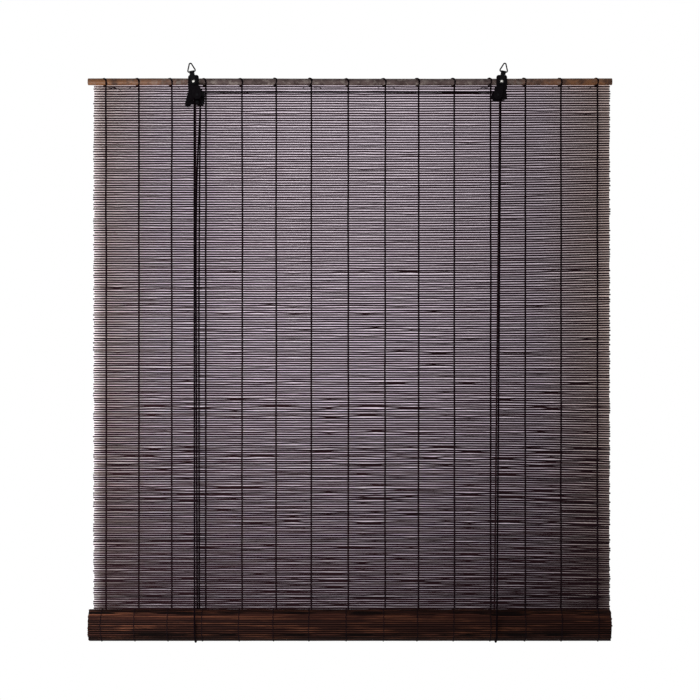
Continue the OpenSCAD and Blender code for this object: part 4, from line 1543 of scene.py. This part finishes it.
@dataclass
class Hangers:
    """The two wire rings, bent from one wire each."""

    joints: list[dict]
    mounts: list[dict]
    wire_d: float = 2.3 * MM
    width: float = 15 * MM
    bend: float = 2.2 * MM
    corner_steps: int = 10
    sides: int = 14

    def ring_path(self, side: str) -> np.ndarray:
        """The closed path of a ring's wire.

        Args:
            side: left or right.

        Returns:
            The path's points.
        """
        joint = next(j for j in self.joints if j["name"] == f"ring_{side}_swing")
        mount = next(m for m in self.mounts if m["name"] == f"hook_{side}")
        bar, across = np.array(joint["pos_m"]), np.array(joint["axis"])
        up = np.array(mount["pos_m"]) - bar
        reach = float(np.linalg.norm(up))
        up /= reach
        foot = self.width / 2 - self.wire_d / 2 - self.bend
        high = reach + self.wire_d / 2 - self.bend
        slope = math.atan2(foot, high - self.bend)
        corners = [((foot, self.bend), -math.pi / 2, math.pi / 2 + slope),
                   ((0.0, high), slope, math.pi - 2 * slope),
                   ((-foot, self.bend), math.pi - slope, math.pi / 2 + slope)]
        flat = [(m[0] + self.bend * math.cos(start + turn * i / self.corner_steps),
                 m[1] + self.bend * math.sin(start + turn * i / self.corner_steps))
                for m, start, turn in corners for i in range(self.corner_steps + 1)]
        return np.array([bar + u * across + v * up for u, v in flat])

    def dress(self, wardrobe: Wardrobe) -> None:
        """Bends both rings."""
        for side, body in (("left", Body.RING_LEFT), ("right", Body.RING_RIGHT)):
            piece = wire(f"ring_{side}_wire", self.ring_path(side), self.wire_d, wardrobe.palette.steel,
                         self.sides, closed=True)
            wardrobe.hang(piece, body, f"ring_{side}")


def dress_solids(nodes: dict[str, bpy.types.Object], palette: Palette) -> None:
    """Gives the solids that stay in view their finishes.

    Args:
        nodes: The frame's solids by name.
        palette: The finishes.
    """
    finishes = {
        # The roll's solid inside takes the near-black bamboo: painted shade between the turns.
        palette.core: ("mat_roll",),
        palette.pole: ("bottom_batten",),
        palette.plastic: ("lock_housing", "pulley_housing", "lock_cam"),
        palette.steel: ("strap_left", "strap_right", "screw_eye_left", "screw_eye_right", "lock_sheave",
                        "pulley_sheave", "guide_roller", "lock_sheave_pin", "pulley_sheave_pin",
                        "guide_roller_pin", "lock_cam_pin"),
        palette.nickel: ("rivet_left", "rivet_right"),
    }
    for material, names in finishes.items():
        for name in names:
            nodes[name].data.materials.clear()
            nodes[name].data.materials.append(material)
            LOG.info("%s keeps its solid, in %s", name, material.name)


@dataclass
class Studio:
    """Camera, soft lights, white surroundings, a pale floor and a wall behind the mat that glows with painted
    light.
    """

    distance: float = 3.49
    eye_height: float = -0.4898
    lens: float = 104.8
    floor_z: float = -1.37
    floor_size: float = 3.0
    wall_room: float = 1 * MM
    wall_past: float = 1 * MM
    # The wall's glow is painted light for what shows through the mat's gaps: it rises from the bottom to a
    # peak, falls a little to the top, and dims and warms to the sides.
    wall_glow_rise: tuple = (0.26, 0.66)
    wall_bright: float = 0.45
    wall_top: float = 0.9
    wall_side: float = 0.55
    wall_even: float = 120 * MM
    wall_cool: float = 330 * MM
    wall_colour: Colour = srgb(245, 238, 244)
    wall_glow_middle: Colour = srgb(255, 238, 253)
    wall_glow_side: Colour = srgb(255, 226, 212)
    floor_colour: Colour = srgb(240, 240, 240)
    floor_glow: float = 0.6
    ambient: float = 0.11
    lamps: tuple = (("key", (-0.66, -0.65, -0.7), 0.6, 8.3), ("fill", (-0.3, -2.6, 0.7), 1.2, 6.5),
                    ("back", (0.5, 2.6, -0.3), 1.2, 26.0))

    def build_camera(self) -> None:
        """Stands the camera straight in front of the blind."""
        data = bpy.data.cameras.new("camera")
        data.lens = self.lens
        data.sensor_width = 36.0
        camera = bpy.data.objects.new("camera", data)
        camera.location = (0.0, -self.distance, self.eye_height)
        camera.rotation_euler = (math.radians(90), 0.0, 0.0)
        bpy.context.scene.collection.objects.link(camera)
        bpy.context.scene.camera = camera

    def build_lamps(self) -> None:
        """Hangs large soft lamps that face the blind."""
        aim = Vector((0.0, 0.0, self.eye_height))
        for name, place, size, power in self.lamps:
            data = bpy.data.lights.new(name, "AREA")
            data.shape, data.size, data.energy = "SQUARE", size, power
            lamp = bpy.data.objects.new(name, data)
            lamp.location = place
            lamp.rotation_euler = (aim - Vector(place)).to_track_quat("-Z", "Y").to_euler()
            bpy.context.scene.collection.objects.link(lamp)

    def build_surroundings(self) -> None:
        """Fills the world with soft white, which the camera sees as plain white."""
        world = bpy.data.worlds.new("surroundings")
        world.use_nodes = True
        bpy.context.scene.world = world
        graph = Graph(world.node_tree)
        backdrop = world.node_tree.nodes["Background"]
        backdrop.inputs["Color"].default_value = (1.0, 1.0, 1.0, 1.0)
        graph.feed(backdrop.inputs["Strength"], self.seen_white(graph, self.ambient))

    @staticmethod
    def seen_white(graph: Graph, otherwise: float) -> bpy.types.NodeSocket:
        """Full strength where the camera, a mirror or glass looks, and less for the light on the blind.

        Args:
            graph: The graph to build in.
            otherwise: The strength for every other ray.

        Returns:
            The strength's socket.
        """
        light = graph.add("ShaderNodeLightPath").outputs
        seen = graph.math("MAXIMUM", light["Is Camera Ray"], light["Is Glossy Ray"])
        seen = graph.math("MAXIMUM", seen, light["Is Transmission Ray"])
        return graph.spread(seen, 0.0, 1.0, otherwise, 1.0)

    def build_floor(self) -> None:
        """Lays a floor below the blind, which the camera sees as pale."""
        half = self.floor_size / 2
        points = np.array([(x, y, self.floor_z) for x, y in ((-half, -half), (half, -half), (half, half),
                                                             (-half, half))])
        material, graph, shader = Finish("pale_floor", "stage", roughness=0.9, specular=0.5).start()
        shader.inputs["Base Color"].default_value = self.floor_colour
        shader.inputs["Emission Color"].default_value = srgb(255, 255, 255)
        glow = graph.product(self.seen_white(graph, 0.0), self.floor_glow)
        graph.feed(shader.inputs["Emission Strength"], glow)
        mesh_piece("floor", points, [[0, 1, 2, 3]], material, smooth=False)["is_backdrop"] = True

    def build_wall(self) -> None:
        """Stands a pale wall behind the mat, which only the front shows; its glow, painted light, gives the
        gaps their tone.

        The glow is a painted pool of light, brightest a little below its middle, with painted shade towards
        the bottom and slightly towards the top, and dimmer and warmer to the sides. Light from behind passes
        through it.
        """
        low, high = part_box("hanging_mat")
        left, right = low.x - self.wall_past, high.x + self.wall_past
        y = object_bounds()[1].y + self.wall_room
        top = centre("headrail").z
        points = np.array([(left, y, low.z), (right, y, low.z), (right, y, top), (left, y, top)])
        material, graph, shader = Finish("painted_light_wall", "stage", roughness=0.9, specular=0.0).start()
        shader.inputs["Base Color"].default_value = self.wall_colour
        axes = graph.split(Finish.place(graph))
        # Painted light: a pool of glow that rises from the bottom, peaks a little below the middle and falls
        # slightly to the top, with painted shade low down.
        bright = low.z + self.wall_bright * (top - low.z)
        rise = graph.spread(axes["Z"], low.z, bright, *self.wall_glow_rise)
        fall = graph.spread(axes["Z"], bright, top, 1.0, self.wall_top)
        # Painted shade to the sides: the glow grows dimmer and warmer.
        off = graph.math("ABSOLUTE", axes["X"])
        aside = graph.spread(off, self.wall_even, right, 1.0, 0.0)
        cool = graph.spread(off, self.wall_cool, right, 1.0, 0.0)
        tint = Finish.blend(graph, cool, self.wall_glow_side, self.wall_glow_middle)
        graph.feed(shader.inputs["Emission Color"], tint)
        dim = graph.spread(aside, 0.0, 1.0, self.wall_side, 1.0)
        glow = graph.product(self.seen_white(graph, 0.0), rise, fall, dim)
        graph.feed(shader.inputs["Emission Strength"], glow)
        back = graph.add("ShaderNodeNewGeometry").outputs["Backfacing"]
        shadow = graph.add("ShaderNodeLightPath").outputs["Is Shadow Ray"]
        through = graph.math("MAXIMUM", back, shadow)
        clear = graph.add("ShaderNodeBsdfTransparent").outputs[0]
        front = graph.add("ShaderNodeMixShader", {0: through, 1: shader.outputs[0], 2: clear}).outputs[0]
        graph.feed(material.node_tree.nodes["Material Output"].inputs["Surface"], front)
        mesh_piece("wall", points, [[0, 1, 2, 3]], material, smooth=False)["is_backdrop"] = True

    def build(self) -> None:
        """Builds the whole studio."""
        bpy.context.scene.view_settings.view_transform = "Standard"
        self.build_camera()
        self.build_lamps()
        self.build_surroundings()
        self.build_floor()
        self.build_wall()


def main() -> None:
    """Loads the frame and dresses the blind."""
    logging.basicConfig(level=logging.INFO, format="%(name)s: %(message)s")
    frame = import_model()
    Studio().build()
    palette = Palette()
    wardrobe = Wardrobe(palette)
    columns = column_places(frame["nodes"]["warp_threads"])
    lift = next(j for j in frame["joints"] if j["name"] == LIFT_JOINT)
    travel = lift["range_m"][1]
    CordSet(travel).dress(wardrobe)
    HangingMat(columns, travel).dress(wardrobe)
    MatRoll(column_places(frame["nodes"]["roll_threads"])).dress(wardrobe)
    Headrail(columns).dress(wardrobe)
    Hangers(frame["joints"], frame["record"]["mounts"]).dress(wardrobe)
    dress_solids(frame["nodes"], palette)


if __name__ == "__main__":
    main()
